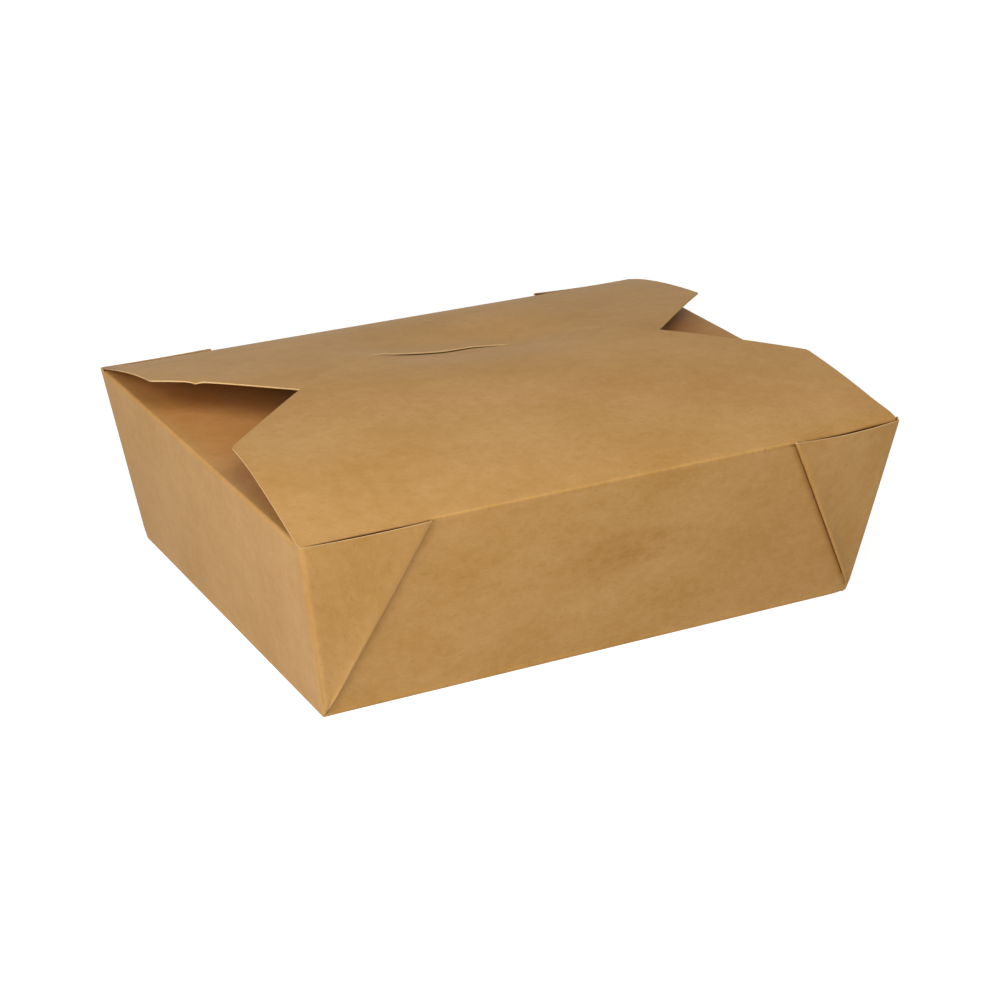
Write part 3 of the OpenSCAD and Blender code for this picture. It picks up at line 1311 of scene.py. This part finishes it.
@dataclass
class FrontFlap(LidFlap):
    """Flap bent back over the others, with a tongue that goes down through the slit.

    Lengths are in millimetres. The painted shade where the fold hangs over an ear covers a part
    given in shares of the way round the fold, and tip_from and spring_from are shares of half_span.
    """

    side_length: float = 51.3
    slant_left: float = 47.8
    slant_right: float = 46.2
    nose: float = 13.0
    nose_ease: float = 0.8
    half_span: float = 107.0
    shoulder: float = 4.0
    tongue_depth: float = 7.0
    tongue_taper: float = 4.0
    taper_even: float = 0.35
    taper_end: float = 0.9
    taper_sharp: int = 4
    bend_run: float = 1.8
    bend_drop: float = 1.6
    bend_shade: float = 0.5
    corner_ease: float = 1.0
    fold_run: float = 0.45
    fold_bulge: float = 0.8
    fold_wear: float = 0.5
    bulge_run: float = 4.0
    bulge_lead: float = 1.0
    dark_left: float = 0.4
    dark_right: float = 0.55
    dark_fade: float = 0.3
    dark_least: float = 0.25
    flare_left: float = 0.9
    flare_right: float = 0.6
    flare_run: float = 42.0
    tip_lift: float = 1.0
    tip_from: float = 0.7
    tip_y: float = -42.0
    tip_reach: float = 24.0
    corner_spring: float = 1.2
    spring_from: float = 0.78
    spring_run: float = 9.0
    strip: float = 0.75
    strip_rows: int = 2
    fold_rows: int = 8
    side_rows: int = 26
    corner_rows: int = 8
    slant_rows: int = 26
    nose_rows: int = 12
    bend_rows: int = 8
    tongue_rows: int = 8

    def __post_init__(self) -> None:
        """Lists the rows across the flap, from its fold to the tongue's bend."""
        cut_y = self.side_length - self.lid.blank.fold_y
        cut_from, cut_to = cut_y - self.corner_ease, cut_y + self.corner_ease
        self.fold_end = self.fold_run - self.lid.blank.fold_y
        self.nose_y = self.lid.slit_y - self.nose
        self.bend_y = self.lid.slit_y - self.bend_run
        self.rows = spaced(self.fold_end, cut_from, self.side_rows)
        self.rows += spaced(cut_from, cut_to, self.corner_rows)
        self.rows += spaced(cut_to, self.nose_y, self.slant_rows)
        self.rows += [*spaced(self.nose_y, self.bend_y, self.nose_rows), self.bend_y]
        self.first = self.strip_rows + self.fold_rows
        self.last = self.first + len(self.rows) - 1

    def slant_edge(self, y: float, end: int) -> float:
        """Half-width of the flap as far as its slanting cuts reach.

        Args:
            y: Place across the box.
            end: -1 for the left edge and 1 for the right one.

        Returns:
            The distance of the edge from the middle of the box.
        """
        run = y + self.lid.blank.fold_y
        slant = self.slant_left if end == LEFT else self.slant_right
        flare = self.flare_left if end == LEFT else self.flare_right
        flare *= 1 - ramp(run, 0, self.flare_run)
        cut = slanted(run - self.side_length, self.corner_ease)
        return self.half_span + flare - math.tan(math.radians(slant)) * cut

    def edge(self, y: float, end: int) -> float:
        """Half-width of the flap, which narrows to the tongue at its nose.

        Args:
            y: Place across the box.
            end: -1 for the left edge and 1 for the right one.

        Returns:
            The distance of the edge from the middle of the box.
        """
        if y < self.nose_y:
            return self.slant_edge(y, end)
        neck = self.lid.tongue_half + end * self.lid.tongue_x + self.shoulder
        share = ramp(y, self.nose_y, self.bend_y) ** self.nose_ease
        return mix(self.slant_edge(self.nose_y, end), neck, share)

    def along(self, y: float, taper: float = 0.0) -> list[float]:
        """Places along the flap for one row, with the tongue narrowed by a taper."""
        edges = self.edge(y, LEFT), self.edge(y, RIGHT)
        return self.spread(*edges, self.lid.tongue_x, self.lid.tongue_half - taper)

    def tongue_point(self, column: int, row: int) -> Vector:
        """Point of the tongue, which bends down and then follows its own swing.

        Args:
            column: Number of the column, from left to right.
            row: Number of the row, counted from the start of the bend.

        Returns:
            The point on the folded box.
        """
        lid = self.lid
        slit_y = lid.slit_y
        if row <= self.bend_rows:
            x = self.along(slit_y)[column]
            high = lid.height(x, slit_y)
            low = high - self.bend_drop
            start = Vector((x, self.bend_y, lid.height(x, self.bend_y)))
            meet = Vector((x, lid.swing_y(high, 0), high))
            end = Vector((x, lid.swing_y(low, 0), low))
            return bent(start, meet, end, row / self.bend_rows)
        share = (row - self.bend_rows) / self.tongue_rows
        taper = self.taper_even * share + self.taper_end * share**self.taper_sharp
        x = self.along(slit_y, self.tongue_taper * taper)[column]
        z = lid.height(x, slit_y) - mix(self.bend_drop, self.tongue_depth, share)
        return Vector((x, lid.swing_y(z, 0), z))

    def fold_spot(self, column: int, row: int) -> Spot:
        """Point of the strip of front wall or of the fold above it.

        Args:
            column: Number of the column, from left to right.
            row: Number of the row, counted from the wall.

        Returns:
            The point, with painted shade where the fold hangs over an ear.
        """
        fold_y = self.lid.blank.fold_y
        turn = max(0, row - self.strip_rows) / self.fold_rows
        share = self.tray.long_spacing(self.lid.tongue_x, self.lid.tongue_half)[column]
        wall_z = self.tray.front_seam + self.strip * min(1.0, row / self.strip_rows)
        wall = self.wall_point(FRONT, share, wall_z)
        y = self.fold_end
        x = self.along(y)[column]
        over = self.over_ear(x)
        bulge = self.fold_bulge * over
        lid = Vector((x, y, self.height(x, y)))
        meet_z = lid.z - slope(self.height, x, y, SLOPE_STEP) * (self.fold_run + bulge)
        place = bent(wall, Vector((wall.x, -fold_y - bulge, meet_z)), lid, turn)
        # Painted shade in the crevice where the fold hangs over an ear.
        dark_to = self.dark_left if x < 0 else self.dark_right
        dark = 1 - soft(ramp(turn, dark_to - self.dark_fade, dark_to))
        recess = over * max(dark, self.dark_least * arc(turn))
        # Away from the ears the fold is lightened: partly wear, partly painted highlight.
        crease = self.fold_wear * arc(turn) * (1 - over)
        return Spot(place, self.unfolded(place), crease, recess)

    def spot(self, column: int, row: int) -> Spot:
        """Point of the flap for a column and a row.

        Args:
            column: Number of the column, from left to right.
            row: Number of the row, counted from the wall to the tongue's end.

        Returns:
            The point, with its place on the flat blank.
        """
        if row < self.first:
            return self.fold_spot(column, row)
        if row <= self.last:
            y = self.rows[row - self.first]
            x = self.along(y)[column]
            place = Vector((x, y, self.height(x, y)))
            return Spot(place, self.unfolded(place))
        place = self.tongue_point(column, row - self.last)
        drop = self.lid.height(place.x, self.lid.slit_y) - place.z
        # Painted shade on the tongue's bend, down in the slit.
        recess = self.bend_shade * arc(ramp(row, self.last, self.last + self.bend_rows))
        return Spot(place, self.unfolded(place, drop), recess=recess)

    def unfolded(self, place: Vector, drop: float = 0.0) -> Point:
        """Place of a point on the flat blank, with how far the tongue goes down to it."""
        blank = self.lid.blank
        return place.x, -(blank.flap_start + blank.fold_y + place.y + drop)

    def height(self, x: float, y: float) -> float:
        """Height of the flap, with its right corner and left tip sprung up.

        Args:
            x: Place along the box.
            y: Place across the box.

        Returns:
            The height of the middle of the board.
        """
        span = self.half_span
        corner = soft(ramp(x, self.spring_from * span, span))
        corner *= bell(y, -self.lid.blank.fold_y, self.spring_run)
        tip = soft(ramp(-x, self.tip_from * span, span)) * bell(y, self.tip_y, self.tip_reach)
        return self.lid.height(x, y) + self.corner_spring * corner + self.tip_lift * tip

    def over_ear(self, x: float) -> float:
        """Share by which a place along the fold lies over an ear."""
        ear = self.tray.corners[LEFT if x < 0 else RIGHT, FRONT].ear_width
        start = self.lid.blank.rim_length / 2 - ear - self.bulge_lead
        return soft(ramp(abs(x), start, start + self.bulge_run))

    def kept(self, column: int, row: int) -> bool:
        """Whether a cell belongs to the flap or its tongue."""
        return row < self.last or self.in_middle(column)

    def build(self, sheet: FoldedSheet) -> None:
        """Lays the flap on the sheet."""
        rows = self.last + self.bend_rows + self.tongue_rows
        sheet.lay(self.columns, rows, self.spot, self.kept)


class NodeBench:
    """Small helper that places and links shader nodes in one tree."""

    NOISE_MIDDLE = 0.5

    def __init__(self, tree: bpy.types.ShaderNodeTree) -> None:
        """Works on a node tree."""
        self.tree = tree

    def node(self, kind: str, **settings: object) -> bpy.types.ShaderNode:
        """Adds a node.

        Args:
            kind: Type of the node.
            settings: Properties to set on it, by name.

        Returns:
            The node.
        """
        made = self.tree.nodes.new(kind)
        for name, value in settings.items():
            setattr(made, name, value)
        return made

    def link(self, source: Socket, target: Socket) -> None:
        """Joins two sockets."""
        self.tree.links.new(source, target)

    def feed(self, target: Socket, value: object) -> None:
        """Links a socket into another one, or sets it to a constant.

        Args:
            target: Socket that is fed.
            value: Socket or constant that feeds it.
        """
        if isinstance(value, Socket):
            self.link(value, target)
        else:
            target.default_value = value

    def math(self, operation: str, a: object, b: object, clamp: bool = False) -> Socket:
        """Adds a Math node.

        Args:
            operation: Operation of the node.
            a: First socket or number.
            b: Second socket or number.
            clamp: Whether the result is held between 0 and 1.

        Returns:
            The socket with the result.
        """
        made = self.node("ShaderNodeMath", operation=operation, use_clamp=clamp)
        self.feed(made.inputs[0], a)
        self.feed(made.inputs[1], b)
        return made.outputs[0]

    def vector(self, operation: str, a: Socket, b: Triple | None = None) -> Socket:
        """Adds a Vector Math node.

        Args:
            operation: Operation of the node.
            a: Socket with the first vector.
            b: Second vector, for an operation that takes one.

        Returns:
            The socket with the result, which is a number for a length.
        """
        made = self.node("ShaderNodeVectorMath", operation=operation)
        self.link(a, made.inputs[0])
        if b is None:
            return made.outputs["Value"]
        made.inputs[1].default_value = b
        return made.outputs["Vector"]

    def noise(self, place: Socket, waves: Triple, detail: float, rough: float = 0.55) -> Socket:
        """Adds stretched noise.

        Args:
            place: Place in metres.
            waves: Waves for each metre along each axis.
            detail: Number of finer layers.
            rough: Strength of the finer layers.

        Returns:
            The socket with the noise.
        """
        made = self.node("ShaderNodeTexNoise")
        made.inputs["Scale"].default_value = 1.0
        made.inputs["Detail"].default_value = detail
        made.inputs["Roughness"].default_value = rough
        self.link(self.vector("MULTIPLY", place, waves), made.inputs["Vector"])
        return made.outputs["Fac"]

    def swing(self, noise: Socket, strength: object) -> Socket:
        """Swing of a noise about its middle, times a strength."""
        return self.math("MULTIPLY", self.math("SUBTRACT", noise, self.NOISE_MIDDLE), strength)

    def span(self, value: Socket, low: float, high: float) -> Socket:
        """Eased share of a value between two limits.

        Args:
            value: Socket with the value.
            low: Value at which the share is 0.
            high: Value at which the share is 1.

        Returns:
            The socket with the share.
        """
        made = self.node("ShaderNodeMapRange", interpolation_type="SMOOTHSTEP")
        self.link(value, made.inputs["Value"])
        made.inputs["From Min"].default_value = low
        made.inputs["From Max"].default_value = high
        return made.outputs["Result"]

    def tint(self, blend: str, share: object, a: object, b: object) -> Socket:
        """Mixes two colours.

        Args:
            blend: Blending mode.
            share: Socket or number with the share of the second colour.
            a: First colour, or a socket with it.
            b: Second colour, or a socket with it.

        Returns:
            The socket with the mixed colour.
        """
        made = self.node("ShaderNodeMix", data_type="RGBA", blend_type=blend)
        colours = [socket for socket in made.inputs if socket.type == "RGBA"]
        self.feed(made.inputs["Factor"], share)
        self.feed(colours[0], a)
        self.feed(colours[1], b)
        return next(socket for socket in made.outputs if socket.type == "RGBA")


class FibreGroup:
    """Shader node group that draws the clouding, fibres and flecks of kraft board.

    Besides the board's own marks it paints light and shade into the colour: highlight on the
    folds along with their rubbing, shade in gaps, in the slit and beside the ears, and a redder
    tone under the lid that is partly painted warm bounce light. Noise is in waves for each metre
    of the flat blank. A pair of values is where a share is 0 and where it is 1, in the noise's
    own values or, beside an ear, in millimetres.
    """

    NAME = "kraft_fibre"
    COLOURS = ("Board", "Fleck", "Rubbed")
    VALUES = ("Cloud", "Fibre", "Flecks", "Rub", "Gloss")
    CLOUD_WAVES = (24, 34, 1)
    CLOUD_DETAIL = 3
    MOTTLE_WAVES = (190, 210, 1)
    MOTTLE_DETAIL = 4
    MOTTLE_ROUGH = 0.8
    MOTTLE_RELIEF = 1.5
    FIBRE_WAVES = (260, 1500, 1)
    FIBRE_DETAIL = 4
    SPECK_WAVES = (420, 1250, 1)
    SPECK_DETAIL = 1
    SPECKS = (0.66, 0.75)
    SWING = (1.0, 1.4, 3.0)
    RAGGED = (0.25, 0.75)
    # Redder tone under the lid: partly the board's own tone, partly painted warm bounce light.
    SHELTERED_TINT = (1.04, 0.88, 0.79, 1)
    # Painted shadow beside the ears: a thin dark line and a wider soft shade.
    EAR_LINE = (1.6, 0.2)
    EAR_LINE_DEPTH = 0.62
    EAR_SHADE = (6.0, 0.3)
    EAR_SHADE_DEPTH = 0.16
    # Colour of the painted shade in gaps and beside the ears.
    GAP_TINT = (0.26, 0.15, 0.05, 1)
    SATIN = 0.16

    @classmethod
    def tree(cls) -> bpy.types.ShaderNodeTree:
        """Gives the group's node tree, built on first use."""
        return bpy.data.node_groups.get(cls.NAME) or cls.build()

    @classmethod
    def build(cls) -> bpy.types.ShaderNodeTree:
        """Builds the group.

        Returns:
            The node tree, which takes a place on the flat blank, the marks of the folded sheet and
            the finish of the board.
        """
        tree = bpy.data.node_groups.new(cls.NAME, "ShaderNodeTree")
        cls.add_sockets(tree)
        bench = NodeBench(tree)
        take = bench.node("NodeGroupInput").outputs
        give = bench.node("NodeGroupOutput").inputs
        flat = take["Blank"]
        cloud = bench.noise(flat, cls.CLOUD_WAVES, cls.CLOUD_DETAIL)
        mottle = bench.noise(flat, cls.MOTTLE_WAVES, cls.MOTTLE_DETAIL, cls.MOTTLE_ROUGH)
        fibre = bench.noise(flat, cls.FIBRE_WAVES, cls.FIBRE_DETAIL)
        speck = bench.noise(flat, cls.SPECK_WAVES, cls.SPECK_DETAIL)
        shade = bench.swing(cloud, take["Cloud"])
        spots = bench.swing(mottle, take["Cloud"])
        hair = bench.swing(fibre, take["Fibre"])
        level = bench.math("ADD", bench.math("ADD", shade, spots), hair)
        board = bench.tint("MULTIPLY", 1.0, take["Board"], cls.blotches(bench, level))
        fleck = bench.math("MULTIPLY", bench.span(speck, *cls.SPECKS), take["Flecks"])
        board = bench.tint("MIX", fleck, board, take["Fleck"])
        # Creases are lightened: partly real rubbing, partly painted highlight.
        ragged = bench.math("MULTIPLY", take["Crease"], bench.span(mottle, *cls.RAGGED))
        rubbed = bench.math("MULTIPLY", ragged, take["Rub"])
        board = bench.tint("MIX", rubbed, board, take["Rubbed"])
        # Under the lid the colour turns redder: partly the board's tone, partly painted warm bounce
        # light.
        board = bench.tint("MULTIPLY", take["Sheltered"], board, cls.SHELTERED_TINT)
        # Painted shade in gaps, in the slit, at the back corner and beside the ears.
        gap = bench.math("MAXIMUM", cls.ear_shadow(bench, take["Beside"]), take["Recess"])
        bench.link(bench.tint("MULTIPLY", gap, board, cls.GAP_TINT), give["Color"])
        satin = bench.swing(mottle, cls.SATIN)
        bench.link(bench.math("ADD", satin, take["Gloss"]), give["Roughness"])
        relief = bench.math("MULTIPLY", mottle, cls.MOTTLE_RELIEF)
        bench.link(bench.math("ADD", fibre, relief), give["Height"])
        return tree

    @classmethod
    def add_sockets(cls, tree: bpy.types.ShaderNodeTree) -> None:
        """Gives the group its named inputs and outputs.

        Args:
            tree: Node tree of the group.
        """
        takes = [("Blank", "NodeSocketVector")]
        takes += [(mark.title(), "NodeSocketFloat") for mark in MARKS]
        takes += [(name, "NodeSocketColor") for name in cls.COLOURS]
        takes += [(name, "NodeSocketFloat") for name in cls.VALUES]
        gives = [("Color", "NodeSocketColor")]
        gives += [(name, "NodeSocketFloat") for name in ("Roughness", "Height")]
        for way, sockets in (("INPUT", takes), ("OUTPUT", gives)):
            for name, kind in sockets:
                tree.interface.new_socket(name, in_out=way, socket_type=kind)

    @classmethod
    def blotches(cls, bench: NodeBench, level: Socket) -> Socket:
        """Turns the swing of the noises into a colour that the board's colour is multiplied by.

        Args:
            bench: Bench of the group's node tree.
            level: Swing of the noises, about 0.

        Returns:
            The socket with the colour, whose blue swings most.
        """
        blotch = bench.node("ShaderNodeCombineColor")
        for channel, swing in zip(blotch.inputs, cls.SWING):
            bench.link(bench.math("ADD", bench.math("MULTIPLY", level, swing), 1.0), channel)
        return blotch.outputs[0]

    @classmethod
    def ear_shadow(cls, bench: NodeBench, beside: Socket) -> Socket:
        """Paints shadow on a long wall beside an ear, as a thin dark line and a wider soft shade.

        Args:
            bench: Bench of the group's node tree.
            beside: Distance from the ear in millimetres.

        Returns:
            The socket with the share of the darkening.
        """
        line = bench.math("MULTIPLY", bench.span(beside, *cls.EAR_LINE), cls.EAR_LINE_DEPTH)
        shade = bench.math("MULTIPLY", bench.span(beside, *cls.EAR_SHADE), cls.EAR_SHADE_DEPTH)
        return bench.math("ADD", line, shade)


@dataclass(frozen=True)
class Scuff:
    """Blotchy patch where the front wall is soiled.

    Attributes:
        place: Middle of the patch on the flat blank, in millimetres.
        reach: Half its length and half its height, in millimetres.
        fade: Where it starts to fade and where it ends, in shares of its reach.
        waves: Waves of its blotches for each metre.
        detail: Number of finer layers of the blotches.
        rough: Strength of the finer layers.
        blotches: Values of the noise where a blotch starts and where it is full.
        even: Strength between the blotches.
        tint: Colour that the board is multiplied by.
    """

    place: Point = (8.0, -118.5)
    reach: Point = (26.0, 10.0)
    fade: Point = (0.2, 1.3)
    waves: Triple = (105, 150, 1)
    detail: float = 4
    rough: float = 0.75
    blotches: Point = (0.36, 0.7)
    even: float = 0.3
    tint: Colour = (0.84, 0.75, 0.58, 1)

    def soil(self, bench: NodeBench, flat: Socket, colour: Socket) -> Socket:
        """Darkens the patch.

        Args:
            bench: Bench of the material's node tree.
            flat: Place on the flat blank.
            colour: Colour of the clean board.

        Returns:
            The socket with the colour and the patch.
        """
        x, y = self.place
        length, height = self.reach
        shifted = bench.vector("ADD", flat, (-x * MM, -y * MM, 0))
        scaled = bench.vector("MULTIPLY", shifted, (1 / (length * MM), 1 / (height * MM), 0))
        faded = bench.span(bench.vector("LENGTH", scaled), *self.fade)
        noise = bench.noise(flat, self.waves, self.detail, self.rough)
        blotch = bench.math("ADD", bench.span(noise, *self.blotches), self.even)
        share = bench.math("MULTIPLY", bench.math("SUBTRACT", 1.0, faded), blotch)
        return bench.tint("MULTIPLY", share, colour, self.tint)


@dataclass(frozen=True)
class BoardFinish:
    """Finish of one face of the board.

    Attributes:
        name: Name of the material.
        board: Colour of the board.
        fleck: Colour of its dark flecks.
        rubbed: Colour of lightened folds: partly real rubbing and partly painted
        highlight.
        cloud: Strength of the clouding.
        fibre: Strength of the fibres.
        flecks: Strength of the flecks.
        rub: Strength of that rubbing and painted highlight on folds.
        gloss: Middle roughness.
        relief: Depth of the fibres in millimetres.
        shine: Strength of its faint shine.
        sheen: Colour of that shine.
        scuff: Soiled patch on this face, if it has one.
    """

    name: str
    board: Colour
    fleck: Colour
    rubbed: Colour
    cloud: float
    fibre: float
    flecks: float
    rub: float
    gloss: float
    relief: float
    shine: float = 0.38
    sheen: Colour = (1.0, 0.85, 0.6, 1)
    scuff: Scuff | None = None

    def build(self) -> bpy.types.Material:
        """Makes the material.

        Returns:
            The material, which reads the marks of the folded sheet.
        """
        material = bpy.data.materials.new(self.name)
        material.use_nodes = True
        material.diffuse_color = self.board
        bench = NodeBench(material.node_tree)
        shader = material.node_tree.nodes["Principled BSDF"]
        flat = bench.node("ShaderNodeAttribute", attribute_name="blank").outputs["Vector"]
        fibre = bench.node("ShaderNodeGroup", node_tree=FibreGroup.tree())
        bench.link(flat, fibre.inputs["Blank"])
        for mark in MARKS:
            value = bench.node("ShaderNodeAttribute", attribute_name=mark).outputs["Fac"]
            bench.link(value, fibre.inputs[mark.title()])
        for name in (*FibreGroup.COLOURS, *FibreGroup.VALUES):
            fibre.inputs[name].default_value = getattr(self, name.lower())
        colour = fibre.outputs["Color"]
        if self.scuff is not None:
            colour = self.scuff.soil(bench, flat, colour)
        shader.inputs["Specular IOR Level"].default_value = self.shine
        shader.inputs["Specular Tint"].default_value = self.sheen
        bench.link(colour, shader.inputs["Base Color"])
        bench.link(fibre.outputs["Roughness"], shader.inputs["Roughness"])
        relief = bench.node("ShaderNodeBump")
        relief.inputs["Strength"].default_value = 1.0
        relief.inputs["Distance"].default_value = self.relief * MM
        bench.link(fibre.outputs["Height"], relief.inputs["Height"])
        bench.link(relief.outputs["Normal"], shader.inputs["Normal"])
        return material


@dataclass(frozen=True)
class Finishes:
    """Finishes of the board's two faces and its cut edges."""

    outside: BoardFinish = BoardFinish(
        name="kraft_outside",
        board=(0.50, 0.272, 0.087, 1),
        # Colour of lightened folds: partly real rubbing, partly painted highlight and bounce light.
        fleck=(0.27, 0.14, 0.045, 1),
        rubbed=(0.70, 0.36, 0.07, 1),
        cloud=0.36,
        fibre=0.11,
        flecks=0.36,
        rub=0.5,
        gloss=0.6,
        relief=0.012,
        scuff=Scuff(),
    )
    inside: BoardFinish = BoardFinish(
        name="kraft_lining",
        board=(0.46, 0.255, 0.085, 1),
        fleck=(0.25, 0.13, 0.042, 1),
        rubbed=(0.50, 0.29, 0.11, 1),
        cloud=0.10,
        fibre=0.07,
        flecks=0.4,
        rub=0.2,
        gloss=0.42,
        relief=0.006,
    )
    cut: BoardFinish = BoardFinish(
        name="kraft_cut_edge",
        board=(0.66, 0.43, 0.19, 1),
        fleck=(0.42, 0.25, 0.10, 1),
        rubbed=(0.76, 0.55, 0.30, 1),
        cloud=0.14,
        fibre=0.12,
        flecks=0.5,
        rub=0.0,
        gloss=0.8,
        relief=0.02,
    )

    def build(self) -> list[bpy.types.Material]:
        """Makes the materials in the order of the sheet's slots."""
        return [finish.build() for finish in (self.outside, self.inside, self.cut)]


@dataclass(frozen=True)
class Lamp:
    """One square soft box, in metres and watts."""

    name: str
    place: Triple
    size: float
    power: float
    aim: Triple = (0, 0, 0.03)

    def build(self) -> None:
        """Makes the lamp and turns it to its aim."""
        data = bpy.data.lights.new(self.name, "AREA")
        data.shape = "SQUARE"
        data.size = self.size
        data.energy = self.power
        lamp = bpy.data.objects.new(self.name, data)
        lamp.location = self.place
        towards = Vector(self.aim) - Vector(self.place)
        lamp.rotation_euler = towards.to_track_quat("-Z", "Y").to_euler()
        bpy.context.collection.objects.link(lamp)


@dataclass(frozen=True)
class Studio:
    """Camera, lamps, floor and surroundings, in metres and degrees.

    The camera's focal length and image width are in pixels. The floor glows to the eye alone, and
    glow_rise holds the distances from the box at which that glow starts to rise and is full.
    """

    azimuth: float = -27.913
    elevation: float = 23.129
    distance: float = 0.853994
    target: Triple = (0.003232, -0.002622, 0.025)
    focal_pixels: float = 2467.676
    image_width: float = 1000.0
    sensor: float = 36.0
    clip_start: float = 0.01
    ambient: float = 0.06
    floor_size: float = 8.0
    floor_white: float = 0.4
    floor_glow: float = 0.85
    glow_rise: Point = (0.15, 0.7)
    lamps: tuple[Lamp, ...] = (
        Lamp("key", (-0.32, -0.55, 0.16), size=0.4, power=1.52),
        Lamp("left_fill", (-0.7, -0.25, 0.4), size=0.6, power=4.34),
        Lamp("overhead", (-0.05, -0.6, 0.8), size=0.6, power=4.36),
    )

    def build(self) -> None:
        """Sets up everything round the box."""
        self.camera()
        for lamp in self.lamps:
            lamp.build()
        self.floor()
        self.surround()
        bpy.context.scene.view_settings.view_transform = "Standard"

    def camera(self) -> None:
        """Places the camera."""
        turn, rise = math.radians(self.azimuth), math.radians(self.elevation)
        level = math.cos(rise)
        back = Vector((math.sin(turn) * level, -math.cos(turn) * level, math.sin(rise)))
        data = bpy.data.cameras.new("camera")
        data.sensor_fit = "HORIZONTAL"
        data.sensor_width = self.sensor
        data.lens = self.focal_pixels * self.sensor / self.image_width
        data.clip_start = self.clip_start
        camera = bpy.data.objects.new("camera", data)
        camera.location = Vector(self.target) + back * self.distance
        camera.rotation_euler = (-back).to_track_quat("-Z", "Y").to_euler()
        bpy.context.collection.objects.link(camera)
        bpy.context.scene.camera = camera

    def seen(self, bench: NodeBench) -> Socket:
        """Share of rays that come straight, or by a mirror or glass, from the camera."""
        path = bench.node("ShaderNodeLightPath").outputs
        seen = bench.math("ADD", path["Is Camera Ray"], path["Is Glossy Ray"], True)
        return bench.math("ADD", seen, path["Is Transmission Ray"], True)

    def floor(self) -> None:
        """Lays a pale floor that keeps a soft shadow."""
        bm = bmesh.new()
        bmesh.ops.create_grid(bm, x_segments=1, y_segments=1, size=self.floor_size / 2)
        mesh = bpy.data.meshes.new("floor")
        bm.to_mesh(mesh)
        bm.free()
        mesh.materials.append(self.floor_paper())
        floor = bpy.data.objects.new("floor", mesh)
        bpy.context.collection.objects.link(floor)

    def floor_paper(self) -> bpy.types.Material:
        """Makes the floor's paper, which glows to the eye and adds no light to the box.

        Returns:
            The material.
        """
        material = bpy.data.materials.new("floor_paper")
        material.use_nodes = True
        bench = NodeBench(material.node_tree)
        paper = material.node_tree.nodes["Principled BSDF"]
        paper.inputs["Base Color"].default_value = (self.floor_white,) * 3 + (1,)
        paper.inputs["Roughness"].default_value = 1.0
        paper.inputs["Specular IOR Level"].default_value = 0.0
        place = bench.node("ShaderNodeTexCoord").outputs["Object"]
        far = bench.span(bench.vector("LENGTH", place), *self.glow_rise)
        level = bench.math("MULTIPLY", far, 1 - self.floor_glow)
        glow = bench.node("ShaderNodeEmission")
        bench.link(bench.math("ADD", level, self.floor_glow), glow.inputs["Strength"])
        both = bench.node("ShaderNodeAddShader")
        bench.link(paper.outputs[0], both.inputs[0])
        bench.link(glow.outputs[0], both.inputs[1])
        choice = bench.node("ShaderNodeMixShader")
        bench.link(self.seen(bench), choice.inputs[0])
        bench.link(paper.outputs[0], choice.inputs[1])
        bench.link(both.outputs[0], choice.inputs[2])
        output = material.node_tree.nodes["Material Output"]
        bench.link(choice.outputs[0], output.inputs["Surface"])
        return material

    def surround(self) -> None:
        """Sets plain white surroundings and an even level of light from them."""
        world = bpy.data.worlds.new("surround")
        world.use_nodes = True
        bpy.context.scene.world = world
        bench = NodeBench(world.node_tree)
        light = world.node_tree.nodes["Background"]
        light.inputs["Color"].default_value = (1, 1, 1, 1)
        level = bench.math("MULTIPLY", self.seen(bench), 1 - self.ambient)
        bench.link(bench.math("ADD", level, self.ambient), light.inputs["Strength"])


@dataclass
class LunchBox:
    """The whole box: the carton's sheet and the front flap that opens.

    Sizes of a bend of the front flap over a short run from just under its fold are given in
    millimetres and radians, but nothing uses them.
    """

    blank: Blank = field(default_factory=Blank)
    finishes: Finishes = field(default_factory=Finishes)
    bend_out: float = 0.1
    bend_down: float = 0.25
    bend_lean: float = 0.9
    bend_run: float = 2.7

    def build(self) -> Iterator[bpy.types.Object]:
        """Builds the pieces one after the other.

        Yields:
            Each finished piece; the carton rides on its body.
        """
        lid = LidForm(self.blank)
        tray = Tray(self.blank, lid)
        skins = self.finishes.build()
        yield self.carton(tray, lid, skins)
        yield self.front(tray, lid, skins)

    def carton(
        self, tray: Tray, lid: LidForm, skins: Sequence[bpy.types.Material]
    ) -> bpy.types.Object:
        """Builds the tray with its ears, end flaps and back flap as one sheet.

        Args:
            tray: Base, walls and web corners.
            lid: Arched surface of the lid.
            skins: Materials of the outside, the inside and the cut edges.

        Returns:
            The piece.
        """
        sheet = FoldedSheet("carton_sheet")
        tray.build(sheet)
        EndFlap(tray, LEFT, drop=0.3, fold_run=1.4).build(sheet)
        EndFlap(tray, RIGHT, drop=-0.1, fold_run=1.3).build(sheet)
        BackFlap(tray, lid).build(sheet)
        piece = sheet.finish(self.blank.board, skins)
        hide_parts(CARTON)
        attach(piece, CARTON)
        return piece

    def front(
        self, tray: Tray, lid: LidForm, skins: Sequence[bpy.types.Material]
    ) -> bpy.types.Object:
        """Builds the front flap.

        Args:
            tray: Base, walls and web corners.
            lid: Arched surface of the lid.
            skins: Materials of the outside, the inside and the cut edges.

        Returns:
            The piece.
        """
        sheet = FoldedSheet("front_flap_sheet")
        FrontFlap(tray, lid).build(sheet)
        piece = sheet.finish(self.blank.board, skins)
        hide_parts(FRONT_FLAP)
        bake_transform(piece)
        return piece


def main() -> None:
    """Loads the frame, builds the studio and the box, and logs the faces of each piece."""
    logging.basicConfig(level=logging.INFO, format="%(name)s: %(message)s")
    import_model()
    Studio().build()
    for piece in LunchBox().build():
        LOG.info("%s has %d faces", piece.name, len(piece.data.polygons))


if __name__ == "__main__":
    main()
